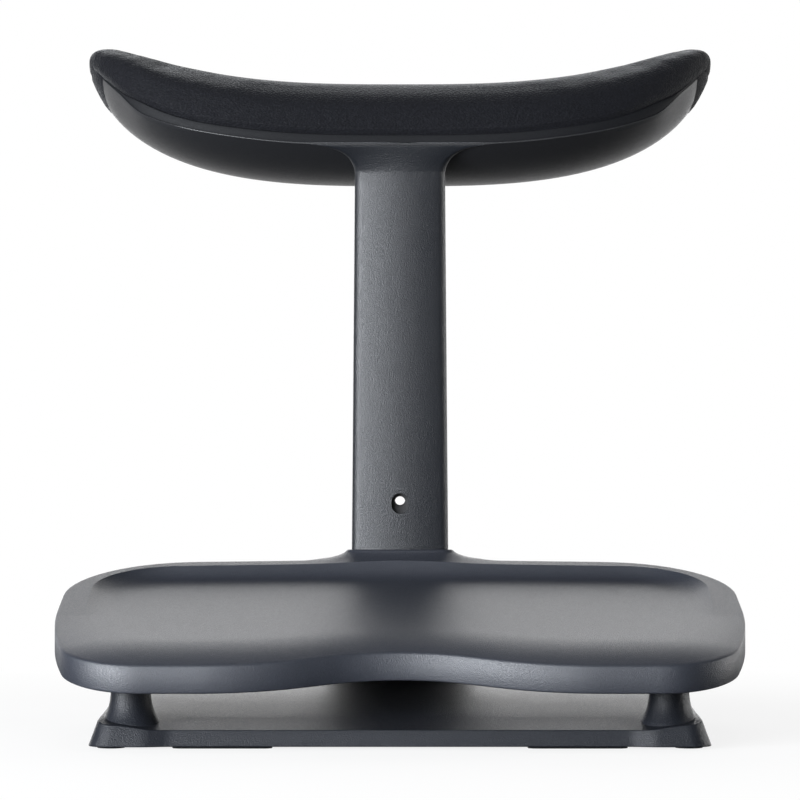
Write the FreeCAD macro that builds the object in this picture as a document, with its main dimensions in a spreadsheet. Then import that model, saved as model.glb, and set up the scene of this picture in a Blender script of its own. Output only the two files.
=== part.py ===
"""Free-standing leg rest: low base, tilted foot tray, sliding column and padded leg cushion. Sizes in mm."""
import FreeCAD
import Part
import Sketcher
import math
import os

DOC = FreeCAD.newDocument("leg_rest")
SHEET = DOC.addObject("Spreadsheet::Sheet", "Dim")

# Driving dimensions. X is across, Y runs from the front (minus) to the back, Z is up from the floor.
SIZES = [
    ("foot_proud", 1.5, "height of the rubber pads below the base"),
    ("foot_thickness", 3, "full thickness of a rubber pad"),
    ("corner_foot_diameter", 18, "round rubber pad"),
    ("strip_foot_length", 65, "long rubber pad, across"),
    ("strip_foot_width", 12, "long rubber pad, front to back"),
    ("front_foot_inset", 15, "front round pads, in from the base's front corners"),
    ("rear_foot_inset", 43, "rear round pads, in from the base's rear corners"),
    ("front_strip_spacing", 231, "between the long pads at the front"),
    ("front_strip_inset", 11.5, "front long pads, in from the base's front edge"),
    ("rear_strip_spacing", 110, "between the long pads at the rear"),
    ("rear_strip_inset", 14, "rear long pads, in from the base's rear edge"),
    ("base_front_width", 406, "base outline at the front"),
    ("base_rear_width", 384, "base outline at the rear"),
    ("base_front_reach", 185, "base front edge, in front of the origin"),
    ("base_rear_reach", 190, "base rear edge, behind the origin"),
    ("base_front_radius", 14, "front corners of the base"),
    ("base_rear_radius", 110, "rear corners of the base"),
    ("base_flank_angle", 20, "lean of the base's sides"),
    ("base_crown_top", 34, "highest point of the domed base"),
    ("base_crown_radius", 800, "curve of the domed base"),
    ("base_crown_reach", 10, "highest point, behind the origin"),
    ("base_wall", 2.5, "wall of the moulded base"),
    ("plate_thickness", 4, "steel ballast plate"),
    ("boss_radius", 6, "screw boss in the base"),
    ("cover_side_spacing", 307, "screws at the base's flanks, across"),
    ("cover_side_depth", 92, "screws at the base's flanks, front to back"),
    ("cover_end_spacing", 154, "screws at the base's ends, across"),
    ("cover_end_depth", 320, "screws at the base's ends, front to back"),
    ("cover_screw_bite", 4, "length of a base screw in its boss"),
    ("pillar_inset", 27, "corner pillars, in from the base's front corners"),
    ("pillar_foot_radius", 19, "corner pillar at its foot"),
    ("pillar_top_radius", 12.5, "corner pillar at its top"),
    ("pillar_foot_level", 10, "start of a corner pillar"),
    ("tower_wall", 14.8, "wall of the centre tower under the tray"),
    ("tower_clearance", 1.2, "gap between tower and column"),
    ("tower_radius", 18, "corners of the tower"),
    ("tower_screw_inset", 12, "tray screws, in from the tower's corners"),
    ("tower_grip", 18, "material under the head of a tray screw in the tower"),
    ("tray_width", 462, "widest point of the tray"),
    ("tray_side_reach", 125, "widest point, in front of the origin"),
    ("tray_front_reach", 217.5, "front edge of the tray, in front of the origin"),
    ("tray_front_taper", 19, "front corners, in from the widest point"),
    ("tray_lobe_spacing", 188, "shoulders beside the notch"),
    ("tray_notch_depth", 39.5, "notch in the middle of the front edge"),
    ("tray_rear_taper", 4, "rear corners, in from the widest point"),
    ("tray_rear_rise", 22, "rear corners, in front of the rear edge beside the tongue"),
    ("tray_waist_reach", 50, "rear edge beside the tongue, behind the origin"),
    ("tray_tongue_margin", 5, "tongue round the tower, at each side"),
    ("tray_tongue_overhang", 3, "tongue behind the tower"),
    ("tray_notch_radius", 112, "bottom of the notch"),
    ("tray_lobe_radius", 180, "shoulders beside the notch"),
    ("tray_front_radius", 42, "front corners of the tray"),
    ("tray_rear_radius", 62, "rear corners of the tray"),
    ("tray_tongue_radius", 30, "corners of the tongue"),
    ("tray_root_radius", 15, "roots of the tongue"),
    ("tray_tilt", 12.3, "slope of the tray"),
    ("tray_front_level", 38, "underside of the tray at its front edge"),
    ("tray_edge", 18, "height of the tray's edge band"),
    ("tray_wall", 4, "wall of the tray's edge band"),
    ("tray_skin", 3.5, "top skin of the tray"),
    ("tray_rib", 2.5, "ribs under the tray"),
    ("tray_rib_spacing", 130, "between the ribs under the tray"),
    ("tray_cross_rib_reach", 72.5, "rib across the tray, in front of the origin"),
    ("tray_boss_radius", 12, "screw boss in the tray"),
    ("panel_thickness", 3, "panel that closes the tray from below"),
    ("recess_margin", 20, "rim beside the dish in the tray"),
    ("recess_corner_margin", 8, "rim behind the rear corners of the dish"),
    ("recess_rear_margin", 9, "rim behind the middle of the dish"),
    ("recess_corner_radius", 45, "rear corners of the dish"),
    ("recess_middle_radius", 400, "rear edge of the dish, in the middle"),
    ("recess_depth", 9.5, "depth of the dish at its rear edge"),
    ("recess_tilt", 8.5, "slope of the dish's floor"),
    ("recess_cove", 7, "round between wall and floor of the dish"),
    ("collar_height", 6.2, "collar round the column, above the tray"),
    ("collar_land", 3.4, "flat top of the collar"),
    ("collar_flare", 45, "lean of the collar's sides"),
    ("column_setback", 38, "middle of the column, behind the tray's rear edge"),
    ("column_wall", 7, "wall of the column"),
    ("column_taper", 2.1, "column below its flared head, drawn in at each side"),
    ("column_radius", 12, "upright corners of the column"),
    ("column_clearance", 0.6, "gap between column and collar"),
    ("flare_height", 21, "height of the flared head"),
    ("flare_side", 45, "reach of the flare to each side"),
    ("flare_setback", 0.9, "front of the flare, behind the shell's rim"),
    ("flare_rear", 30, "reach of the flare to the rear"),
    ("cavity_radius", 8, "corners of the hollow in the column"),
    ("cavity_headroom", 58, "room above the guide post, in the hollow"),
    ("head_block", 24, "solid head of the column between the hollow and the flare"),
    ("column_travel", 60, "height range of the column"),
    ("pin_rise", 34.1, "cross hole above the collar"),
    ("pin_hole_diameter", 7.2, "cross hole in the guide post"),
    ("pin_slot_diameter", 12, "slot in the column's front wall"),
    ("pin_slot_drop", 2.5, "extra length of the slot, downwards"),
    ("pin_rear_diameter", 10, "hole in the column's rear wall"),
    ("post_width", 46, "square guide post"),
    ("post_radius", 6, "corners of the guide post"),
    ("post_wall", 3, "wall of the guide post"),
    ("post_length", 288.5, "guide post above its flange"),
    ("flange_margin", 27, "flange round the guide post"),
    ("flange_thickness", 6, "flange under the guide post"),
    ("flange_bolt_margin", 17, "bolts in the flange, out from the guide post"),
    ("bolt_radius", 4, "bolts in the flange and the head"),
    ("bolt_head_margin", 2.8, "head of a bolt beyond its shank"),
    ("bolt_head_height", 5, "heads of those bolts"),
    ("stop_height", 8.5, "rubber stop under the column"),
    ("stop_inset", 1, "rubber stop, in from the column's sides"),
    ("bush_wall", 4, "slide rings between guide post and column"),
    ("bush_height", 30, "slide rings"),
    ("cap_thickness", 4, "end cap of the guide post"),
    ("cap_spigot", 15, "length of the end cap inside the post"),
    ("running_clearance", 0.3, "sliding fit"),
    ("fit_clearance", 0.15, "seated fit"),
    ("thread_clearance", 0.05, "screw in its pilot hole"),
    ("screw_radius", 2.5, "screws of the base, the tray and the cushion"),
    ("screw_head_margin", 1.7, "head of a screw beyond its shank"),
    ("screw_head_height", 3, "heads of those screws"),
    ("screw_grip", 9, "material under a screw's head"),
    ("screw_bite", 8, "length of a screw in the tray"),
    ("pad_width", 447, "leg cushion, across"),
    ("pad_depth", 164, "leg cushion, front to back"),
    ("pad_setback", 44.5, "middle of the cushion, behind the column"),
    ("rim_rise", 19.5, "front rim of the shell above the foot of the flare"),
    ("rim_curl", 97, "rise of the rim towards the ends"),
    ("rim_overrun", 11.5, "end of the rim's curve beyond the cushion, at each side"),
    ("rim_band", 6.5, "upright band above the rim"),
    ("belly_depth", 25, "belly of the shell below its rim"),
    ("belly_curl", 86, "rise of the belly towards the ends"),
    ("shell_wall", 3, "wall of the shell"),
    ("shell_inset", 4, "ends of the shell, in from the cushion's ends"),
    ("board_thickness", 5, "board under the foam"),
    ("board_gap", 0.5, "gap round the board"),
    ("cushion_thickness", 40.5, "height of the cushion above the rim band"),
    ("cushion_bulge", 3, "bulge of the cushion's sides"),
    ("cushion_gap", 0.3, "gap under the cushion"),
    ("cover_thickness", 1.5, "sewn cover with its lining"),
    ("cushion_screw_spacing", 270, "cushion screws, across"),
    ("cushion_screw_depth", 80, "cushion screws, front to back"),
    ("cushion_boss_radius", 9, "screw boss in the shell"),
    ("insert_wall", 2.5, "wall of the threaded inserts in the board"),
    ("seat_drop", 8.5, "flat seat inside the shell, below the rim"),
    ("seat_margin", 4, "seat round the head bracket"),
    ("bracket_length", 96, "head bracket, across"),
    ("bracket_width", 56, "head bracket, front to back"),
    ("bracket_setback", 9, "middle of the head bracket, behind the column"),
    ("bracket_thickness", 4, "head bracket"),
    ("head_bolt_spacing", 40, "bolts in the head, across"),
    ("head_bolt_depth", 28, "bolts in the head, front to back"),
    ("head_bolt_bite", 14, "length of a bolt in the head"),
]
for row, (alias, amount, note) in enumerate(SIZES, start=1):
    SHEET.set(f"A{row}", alias)
    SHEET.set(f"B{row}", str(amount))
    SHEET.setAlias(f"B{row}", alias)
    SHEET.set(f"C{row}", note)
DOC.recompute()


def number(formula):
    """Value of a formula in the names of the driving dimensions."""
    return float(SHEET.evalExpression(formula))


def size(alias):
    """One driving dimension."""
    return number(f"Dim.{alias}")


def bind(item, **formulas):
    """Tie properties of a document object to formulas."""
    for name, formula in formulas.items():
        item.setExpression(name, formula)


def place(item, x, y, z):
    """Tie the position of a document object to formulas."""
    for axis, formula in zip("xyz", (x, y, z)):
        item.setExpression(f"Placement.Base.{axis}", formula)


# Sketches and features

def polygon(body, role, corners, lift="0"):
    """Closed sketch of straight lines through corners given as pairs of formulas."""
    sketch = body.newObject("Sketcher::SketchObject", f"{body.Name}_outline")
    plane = next(item for item in body.Origin.OriginFeatures if item.Role == role)
    sketch.AttachmentSupport = [(plane, "")]
    sketch.MapMode = "FlatFace"
    sketch.setExpression("AttachmentOffset.Base.z", lift)
    points = [FreeCAD.Vector(number(first), number(second), 0) for first, second in corners]
    count = len(points)
    for index, point in enumerate(points):
        sketch.addGeometry(Part.LineSegment(point, points[(index + 1) % count]))
    for index in range(count):
        sketch.addConstraint(Sketcher.Constraint("Coincident", index, 2, (index + 1) % count, 1))
    for index, point in enumerate(points):
        across = sketch.addConstraint(Sketcher.Constraint("DistanceX", -1, 1, index, 1, point.x))
        sketch.setExpression(f"Constraints[{across}]", corners[index][0])
        along = sketch.addConstraint(Sketcher.Constraint("DistanceY", -1, 1, index, 1, point.y))
        sketch.setExpression(f"Constraints[{along}]", corners[index][1])
    sketch.recompute()
    return sketch


def pad(body, sketch, length, middle=False, down=False):
    """Raise a sketch to a solid."""
    feature = body.newObject("PartDesign::Pad", f"{body.Name}_pad")
    feature.Profile = sketch
    feature.setExpression("Length", length)
    feature.Midplane = middle
    feature.Reversed = down
    feature.recompute()
    return feature


def lean(body, angle, pivot_up=False):
    """Lean the sides of a block inwards as they rise, about its lower or its upper face."""
    tip = body.Tip
    sides = []
    pivot = []
    for index, face in enumerate(tip.Shape.Faces, start=1):
        upward = face.normalAt(0.5, 0.5).z
        if abs(upward) < 0.1:
            sides.append(f"Face{index}")
        elif (upward > 0) == pivot_up:
            pivot.append(f"Face{index}")
    feature = body.newObject("PartDesign::Draft", f"{body.Name}_lean")
    feature.Base = (tip, sides)
    feature.NeutralPlane = (tip, pivot)
    feature.setExpression("Angle", angle)
    feature.recompute()
    return feature


def slice_away(body, corners):
    """Cut a profile drawn in the YZ plane right across the solid."""
    sketch = polygon(body, "YZ_Plane", corners)
    feature = body.newObject("PartDesign::Pocket", f"{body.Name}_slice")
    feature.Profile = sketch
    feature.Type = "ThroughAll"
    feature.Midplane = True
    feature.recompute()
    return feature


def round_corners(body, corners, radius):
    """Round the rising edges that start at the given corners."""
    tip = body.Tip
    places = [(number(first), number(second)) for first, second in corners]
    names = []
    for index, edge in enumerate(tip.Shape.Edges, start=1):
        ends = sorted((vertex.Point for vertex in edge.Vertexes), key=lambda point: point.z)
        if len(ends) < 2 or ends[1].z - ends[0].z < 1:
            continue
        for end in ends:
            if any(math.hypot(end.x - x, end.y - y) < 0.01 for x, y in places):
                names.append(f"Edge{index}")
                break
    feature = body.newObject("PartDesign::Fillet", f"{body.Name}_round")
    feature.Base = (tip, names)
    feature.setExpression("Radius", radius)
    feature.recompute()
    return feature


def mirrored(corners):
    """Closed outline from its right half, listed from front to back."""
    left = [(f"-({x})", y) for x, y in reversed(corners) if x != "0"]
    return corners + left


def both_sides(corner):
    """A corner and its mirror image."""
    return [corner, (f"-({corner[0]})", corner[1])]


def square_prism(label, width, bottom, height, radius):
    """Upright rounded block on the column's middle line."""
    body = DOC.addObject("PartDesign::Body", label)
    half = f"({width}) / 2"
    corners = mirrored([(half, f"{COLUMN_REACH} - {half}"), (half, f"{COLUMN_REACH} + {half}")])
    sketch = polygon(body, "XY_Plane", corners, bottom)
    pad(body, sketch, height)
    round_corners(body, corners, radius)
    return body


def cylinder(label, radius, height, x, y, z):
    """Upright cylinder on its lower centre."""
    item = DOC.addObject("Part::Cylinder", label)
    bind(item, Radius=radius, Height=height)
    place(item, x, y, z)
    return item


def cross_cylinder(label, radius, height, x, y, z):
    """Cylinder that runs from front to back."""
    item = DOC.addObject("Part::Cylinder", label)
    item.Placement = FreeCAD.Placement(FreeCAD.Vector(), FreeCAD.Rotation(FreeCAD.Vector(1, 0, 0), -90))
    bind(item, Radius=radius, Height=height)
    place(item, x, y, z)
    return item


def block(label, length, width, height, x, y, z):
    """Box centred across and along, standing on z."""
    item = DOC.addObject("Part::Box", label)
    bind(item, Length=length, Width=width, Height=height)
    place(item, f"{x} - ({length}) / 2", f"{y} - ({width}) / 2", z)
    return item


def fuse(label, parts):
    """One solid from several."""
    item = DOC.addObject("Part::MultiFuse", label)
    item.Shapes = parts
    return item


def common(label, parts):
    """What several solids share."""
    item = DOC.addObject("Part::MultiCommon", label)
    item.Shapes = parts
    return item


def group(label, parts):
    """Separate solids kept together as one node."""
    item = DOC.addObject("Part::Compound", label)
    item.Links = parts
    return item


def cut(label, base, tools):
    """A solid less one or more tools."""
    item = DOC.addObject("Part::Cut", label)
    item.Base = base
    item.Tool = tools[0] if len(tools) == 1 else fuse(f"{label}_tools", tools)
    return item


def screw(label, x, y, seat, reach, radius, head_radius, head_height, head_up, corners=0):
    """Machine screw with a hex socket, or with a hex head where corners is six."""
    shank_foot = f"{seat} - ({reach})" if head_up else seat
    head_foot = seat if head_up else f"{seat} - ({head_height})"
    shank = cylinder(f"{label}_shank", radius, reach, x, y, shank_foot)
    if corners:
        head = DOC.addObject("Part::Prism", f"{label}_head")
        head.Polygon = corners
        bind(head, Circumradius=head_radius, Height=head_height)
        place(head, x, y, head_foot)
        return fuse(label, [shank, head])
    head = cylinder(f"{label}_head", head_radius, head_height, x, y, head_foot)
    socket = DOC.addObject("Part::Prism", f"{label}_socket")
    socket.Polygon = 6
    bind(socket, Circumradius=f"({head_radius}) / 2", Height=f"({head_height}) / 2")
    place(socket, x, y, f"{seat} + ({head_height}) / 2" if head_up else head_foot)
    return cut(label, fuse(f"{label}_form", [shank, head]), [socket])


def spots(spacing_x, spacing_y, middle):
    """Four places round a middle line."""
    places = []
    for name, across in (("left", "-"), ("right", "")):
        for end, along in (("front", "-"), ("rear", "+")):
            x = f"{across}({spacing_x}) / 2"
            y = f"{middle} {along} ({spacing_y}) / 2"
            places.append((f"{name}_{end}", x, y))
    return places


# Levels and widths that several pieces share
PLATE_TOP = "(Dim.foot_proud + Dim.plate_thickness)"
FLANGE_TOP = f"({PLATE_TOP} + Dim.flange_thickness)"
POST_TOP = f"({FLANGE_TOP} + Dim.post_length)"
COLUMN_BOTTOM = f"({FLANGE_TOP} + Dim.stop_height)"
CAVITY_TOP = f"({POST_TOP} + Dim.cap_thickness + Dim.cavity_headroom)"
FLARE_START = f"({CAVITY_TOP} + Dim.head_block)"
RIM_LEVEL = f"({FLARE_START} + Dim.rim_rise)"
SEAT_LEVEL = f"({RIM_LEVEL} - Dim.seat_drop)"
TRAY_SLOPE = "tan(Dim.tray_tilt)"
TRAY_LEVEL = f"(Dim.tray_front_level + (Dim.tray_front_reach + Dim.tray_waist_reach) * {TRAY_SLOPE})"
COLLAR_TOP = f"({TRAY_LEVEL} + Dim.tray_edge + Dim.collar_height)"
PIN_LEVEL = f"({COLLAR_TOP} + Dim.pin_rise)"
COLUMN_REACH = "(Dim.tray_waist_reach + Dim.column_setback)"
PAD_REACH = f"({COLUMN_REACH} + Dim.pad_setback)"
BRACKET_REACH = f"({COLUMN_REACH} + Dim.bracket_setback)"
CAVITY_WIDTH = "(Dim.post_width + 2 * Dim.bush_wall)"
COLUMN_WIDTH = f"({CAVITY_WIDTH} + 2 * Dim.column_wall)"
NECK_WIDTH = f"({COLUMN_WIDTH} - 2 * Dim.column_taper)"
COLLAR_WIDTH = f"({COLUMN_WIDTH} + 2 * Dim.column_clearance + 2 * Dim.collar_land)"
TOWER_WIDTH = f"({COLUMN_WIDTH} + 2 * Dim.tower_clearance + 2 * Dim.tower_wall)"
PILLAR_X = "(Dim.base_front_width / 2 - Dim.pillar_inset)"
PILLAR_Y = "(Dim.pillar_inset - Dim.base_front_reach)"
SCREW_HEAD = "(Dim.screw_radius + Dim.screw_head_margin)"
CHANNEL_RADIUS = f"({SCREW_HEAD} + Dim.fit_clearance)"
HOLE_RADIUS = "(Dim.screw_radius + Dim.fit_clearance)"
PILOT_RADIUS = "(Dim.screw_radius + Dim.thread_clearance)"
BOLT_HEAD = "(Dim.bolt_radius + Dim.bolt_head_margin)"
BOLT_HOLE = "(Dim.bolt_radius + Dim.fit_clearance)"
FAR = "(2 * Dim.tray_width)"
SIDES = (("left", "-"), ("right", ""))


def under_tray(reach):
    """Level of the tray's sloped underside at a distance behind the origin."""
    return f"(Dim.tray_front_level + (Dim.tray_front_reach + ({reach})) * {TRAY_SLOPE})"


# Tray outline and layers
def tray_corners(inset):
    """Right half of the tray's plan outline, drawn in by an inset."""
    tongue = f"{TOWER_WIDTH} / 2 + Dim.tray_tongue_margin"
    return [
        ("0", f"{inset} - Dim.tray_front_reach + Dim.tray_notch_depth"),
        ("Dim.tray_lobe_spacing / 2", f"{inset} - Dim.tray_front_reach"),
        (f"Dim.tray_width / 2 - Dim.tray_front_taper - {inset}", f"{inset} - Dim.tray_front_reach"),
        (f"Dim.tray_width / 2 - {inset}", "-Dim.tray_side_reach"),
        (f"Dim.tray_width / 2 - Dim.tray_rear_taper - {inset}",
         f"Dim.tray_waist_reach - Dim.tray_rear_rise - {inset}"),
        (f"{tongue} - {inset}", f"Dim.tray_waist_reach - {inset}"),
        (f"{tongue} - {inset}", f"{COLUMN_REACH} + {TOWER_WIDTH} / 2 + Dim.tray_tongue_overhang - {inset}"),
    ]


def tray_prism(label, inset):
    """Upright block with the tray's plan outline."""
    body = DOC.addObject("PartDesign::Body", label)
    half = tray_corners(inset)
    sketch = polygon(body, "XY_Plane", mirrored(half))
    pad(body, sketch, f"2 * {COLLAR_TOP}")
    round_corners(body, half[:1], f"Dim.tray_notch_radius + {inset}")
    round_corners(body, both_sides(half[1]), f"Dim.tray_lobe_radius - {inset}")
    round_corners(body, both_sides(half[2]), f"Dim.tray_front_radius - {inset}")
    round_corners(body, both_sides(half[4]), f"Dim.tray_rear_radius - {inset}")
    round_corners(body, both_sides(half[5]), f"Dim.tray_root_radius + {inset}")
    round_corners(body, both_sides(half[6]), f"Dim.tray_tongue_radius - {inset}")
    return body


def tray_line(lift):
    """Side view of a face that runs along the tray: sloped, then level behind the rear edge."""
    return [
        (f"-{FAR}", f"{under_tray(f'-{FAR}')} + {lift}"),
        ("Dim.tray_waist_reach", f"{TRAY_LEVEL} + {lift}"),
        (FAR, f"{TRAY_LEVEL} + {lift}"),
    ]


def tray_layer(label, low, high):
    """Slab between two heights above the tray's underside."""
    body = DOC.addObject("PartDesign::Body", label)
    sketch = polygon(body, "YZ_Plane", tray_line(low) + list(reversed(tray_line(high))))
    pad(body, sketch, FAR, middle=True)
    return body


# Rubber feet
def round_foot(label, x, y, grow):
    """Round foot, drawn larger by a gap for its seat."""
    return cylinder(label, f"Dim.corner_foot_diameter / 2 + {grow}", "Dim.foot_thickness", x, y, "0")


def long_foot(label, x, y, grow):
    """Long foot with round ends, drawn larger by a gap for its seat."""
    straight = "(Dim.strip_foot_length - Dim.strip_foot_width)"
    width = f"Dim.strip_foot_width + 2 * {grow}"
    bar = block(f"{label}_bar", straight, width, "Dim.foot_thickness", x, y, "0")
    ends = [cylinder(f"{label}_end", f"Dim.strip_foot_width / 2 + {grow}", "Dim.foot_thickness",
                     f"{x} {turn} {straight} / 2", y, "0")
            for turn in ("-", "+")]
    return fuse(label, [bar] + ends)


def foot_set(label, grow):
    """Two round and two long feet at the front of the base, and the same at its rear."""
    rounds = []
    strips = []
    for side, sign in SIDES:
        front = f"{label}_front_{side}"
        rounds.append(round_foot(f"{front}_round", f"{sign}(Dim.base_front_width / 2 - Dim.front_foot_inset)",
                                 "Dim.front_foot_inset - Dim.base_front_reach", grow))
        strips.append(long_foot(f"{front}_strip", f"{sign}Dim.front_strip_spacing / 2",
                                "Dim.front_strip_inset - Dim.base_front_reach", grow))
        rear = f"{label}_rear_{side}"
        rounds.append(round_foot(f"{rear}_round", f"{sign}(Dim.base_rear_width / 2 - Dim.rear_foot_inset)",
                                 "Dim.base_rear_reach - Dim.rear_foot_inset", grow))
        strips.append(long_foot(f"{rear}_strip", f"{sign}Dim.rear_strip_spacing / 2",
                                "Dim.base_rear_reach - Dim.rear_strip_inset", grow))
    return rounds, strips


round_feet, long_feet = foot_set("foot", "0")
round_seats, long_seats = foot_set("seat", "Dim.fit_clearance")
corner_feet = group("corner_feet", round_feet)
strip_feet = group("strip_feet", long_feet)


# Base: tapered block under a shallow crown
def base_corners(inset):
    """Right half of the base outline, drawn in by an inset."""
    return [
        (f"Dim.base_front_width / 2 - {inset}", f"{inset} - Dim.base_front_reach"),
        (f"Dim.base_rear_width / 2 - {inset}", f"Dim.base_rear_reach - {inset}"),
    ]


def base_form(label, inset):
    """Domed form of the base, drawn in by an inset."""
    body = DOC.addObject("PartDesign::Body", f"{label}_block")
    half = base_corners(inset)
    sketch = polygon(body, "XY_Plane", mirrored(half), "Dim.foot_proud")
    pad(body, sketch, "Dim.base_crown_top")
    round_corners(body, both_sides(half[0]), f"Dim.base_front_radius - {inset} / 2")
    round_corners(body, both_sides(half[1]), f"Dim.base_rear_radius - {inset}")
    lean(body, "Dim.base_flank_angle")
    crown = DOC.addObject("Part::Cylinder", f"{label}_crown")
    crown.Placement = FreeCAD.Placement(FreeCAD.Vector(), FreeCAD.Rotation(FreeCAD.Vector(0, 1, 0), 90))
    bind(crown, Radius=f"Dim.base_crown_radius - {inset}", Height="2 * Dim.base_front_width")
    place(crown, "-Dim.base_front_width", "Dim.base_crown_reach", "Dim.base_crown_top - Dim.base_crown_radius")
    return common(label, [body, crown])


base_outside = base_form("base_outside", "0")
base_hollow = base_form("base_hollow", "Dim.base_wall")
above_base = tray_layer("above_base", "0", "Dim.tray_width")

PILLAR_SEAT = f"({under_tray(PILLAR_Y)} - Dim.screw_grip)"
TOWER_FRONT = f"({COLUMN_REACH} - {TOWER_WIDTH} / 2)"
TOWER_SEAT = f"({under_tray(TOWER_FRONT)} - Dim.tower_grip)"
TOWER_SCREW_SPACING = f"({TOWER_WIDTH} - 2 * Dim.tower_screw_inset)"

pillars = []
cover_tools = [base_hollow, above_base]
for side, sign in SIDES:
    x = f"{sign}{PILLAR_X}"
    pillar = DOC.addObject("Part::Cone", f"pillar_{side}")
    bind(pillar, Radius1="Dim.pillar_foot_radius", Radius2="Dim.pillar_top_radius",
         Height=f"{under_tray('0')} - Dim.pillar_foot_level")
    place(pillar, x, PILLAR_Y, "Dim.pillar_foot_level")
    pillars.append(pillar)
    cover_tools.append(cylinder(f"pillar_{side}_channel", CHANNEL_RADIUS, PILLAR_SEAT, x, PILLAR_Y, "0"))
    cover_tools.append(cylinder(f"pillar_{side}_hole", HOLE_RADIUS, FAR, x, PILLAR_Y, "0"))

tower = square_prism("tower", TOWER_WIDTH, "Dim.base_crown_top / 2", COLLAR_TOP, "Dim.tower_radius")
cover_tools.append(square_prism("tower_bore", f"{COLUMN_WIDTH} + 2 * Dim.tower_clearance", "0", FAR,
                                "Dim.column_radius + Dim.tower_clearance"))
tower_places = spots(TOWER_SCREW_SPACING, TOWER_SCREW_SPACING, COLUMN_REACH)
for name, x, y in tower_places:
    cover_tools.append(cylinder(f"tower_{name}_channel", CHANNEL_RADIUS, TOWER_SEAT, x, y, "0"))
    cover_tools.append(cylinder(f"tower_{name}_hole", HOLE_RADIUS, FAR, x, y, "0"))

cover_places = spots("Dim.cover_side_spacing", "Dim.cover_side_depth", "0")
cover_places += spots("Dim.cover_end_spacing", "Dim.cover_end_depth", "0")
bosses = [cylinder(f"boss_{index}", "Dim.boss_radius", "Dim.base_crown_top", x, y, PLATE_TOP)
          for index, (name, x, y) in enumerate(cover_places)]
inner_bosses = common("inner_bosses", [fuse("boss_set", bosses), base_outside])
cover_shell = cut("cover_shell", fuse("cover_form", [base_outside, tower] + pillars), cover_tools)
boss_holes = [cylinder(f"boss_hole_{index}", PILOT_RADIUS, f"{PLATE_TOP} + Dim.cover_screw_bite", x, y, "0")
              for index, (name, x, y) in enumerate(cover_places)]
base_cover = cut("base_cover", fuse("cover_with_bosses", [cover_shell, inner_bosses]), boss_holes)

# Ballast plate with its screws, in the mouth of the cover
PLATE_INSET = "(Dim.base_wall + Dim.running_clearance + Dim.plate_thickness * tan(Dim.base_flank_angle))"
plate_body = DOC.addObject("PartDesign::Body", "plate_form")
plate_half = base_corners(PLATE_INSET)
pad(plate_body, polygon(plate_body, "XY_Plane", mirrored(plate_half), "Dim.foot_proud"), "Dim.plate_thickness")
round_corners(plate_body, both_sides(plate_half[0]), f"Dim.base_front_radius - {PLATE_INSET} / 2")
round_corners(plate_body, both_sides(plate_half[1]), f"Dim.base_rear_radius - {PLATE_INSET}")
SINK_LEVEL = "(Dim.foot_proud + Dim.plate_thickness / 2)"
plate_tools = round_seats + long_seats
cover_screw_set = []
for index, (name, x, y) in enumerate(cover_places):
    plate_tools.append(cylinder(f"plate_hole_{index}", HOLE_RADIUS, FAR, x, y, "0"))
    plate_tools.append(cylinder(f"plate_sink_{index}", CHANNEL_RADIUS, SINK_LEVEL, x, y, "0"))
    cover_screw_set.append(screw(f"cover_screw_{index}", x, y, SINK_LEVEL,
                                 "Dim.plate_thickness / 2 + Dim.cover_screw_bite - Dim.fit_clearance",
                                 "Dim.screw_radius", SCREW_HEAD, "Dim.plate_thickness / 2", False))
FLANGE_BOLT_SPACING = "(Dim.post_width + 2 * Dim.flange_bolt_margin)"
flange_places = spots(FLANGE_BOLT_SPACING, FLANGE_BOLT_SPACING, COLUMN_REACH)
flange_holes = [cylinder(f"flange_hole_{name}", BOLT_HOLE, FAR, x, y, "0") for name, x, y in flange_places]
base_plate = cut("base_plate", plate_body, plate_tools + flange_holes)
cover_screws = group("cover_screws", cover_screw_set)

# Guide post on its flange
flange_form = square_prism("flange_form", "Dim.post_width + 2 * Dim.flange_margin", PLATE_TOP,
                           "Dim.flange_thickness", "Dim.post_radius")
post_flange = cut("post_flange", flange_form, flange_holes)
flange_bolts = group("flange_bolts", [
    screw(f"flange_bolt_{name}", x, y, FLANGE_TOP, "Dim.flange_thickness + Dim.plate_thickness / 2",
          "Dim.bolt_radius", BOLT_HEAD, "Dim.bolt_head_height", True, 6)
    for name, x, y in flange_places])
POST_INSIDE = "(Dim.post_width - 2 * Dim.post_wall)"
INSIDE_RADIUS = "(Dim.post_radius - Dim.post_wall / 2)"
post_form = square_prism("post_form", "Dim.post_width", FLANGE_TOP, "Dim.post_length", "Dim.post_radius")
post_bore = square_prism("post_bore", POST_INSIDE, FLANGE_TOP, FAR, INSIDE_RADIUS)
PIN_STEPS = 3
pin_holes = [cross_cylinder(f"pin_hole_{step}", "Dim.pin_hole_diameter / 2", "2 * Dim.post_width", "0",
                            f"{COLUMN_REACH} - Dim.post_width",
                            f"{PIN_LEVEL} + {step} * Dim.column_travel / {PIN_STEPS}")
             for step in range(PIN_STEPS + 1)]
guide_post = cut("guide_post", post_form, [post_bore] + pin_holes)


def slide_ring(label, outside, inside, bottom, height, radius):
    """Square ring round the guide post."""
    form = square_prism(f"{label}_form", outside, bottom, height, radius)
    bore = square_prism(f"{label}_bore", inside, "0", FAR, "Dim.post_radius")
    return cut(label, form, [bore])


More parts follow.
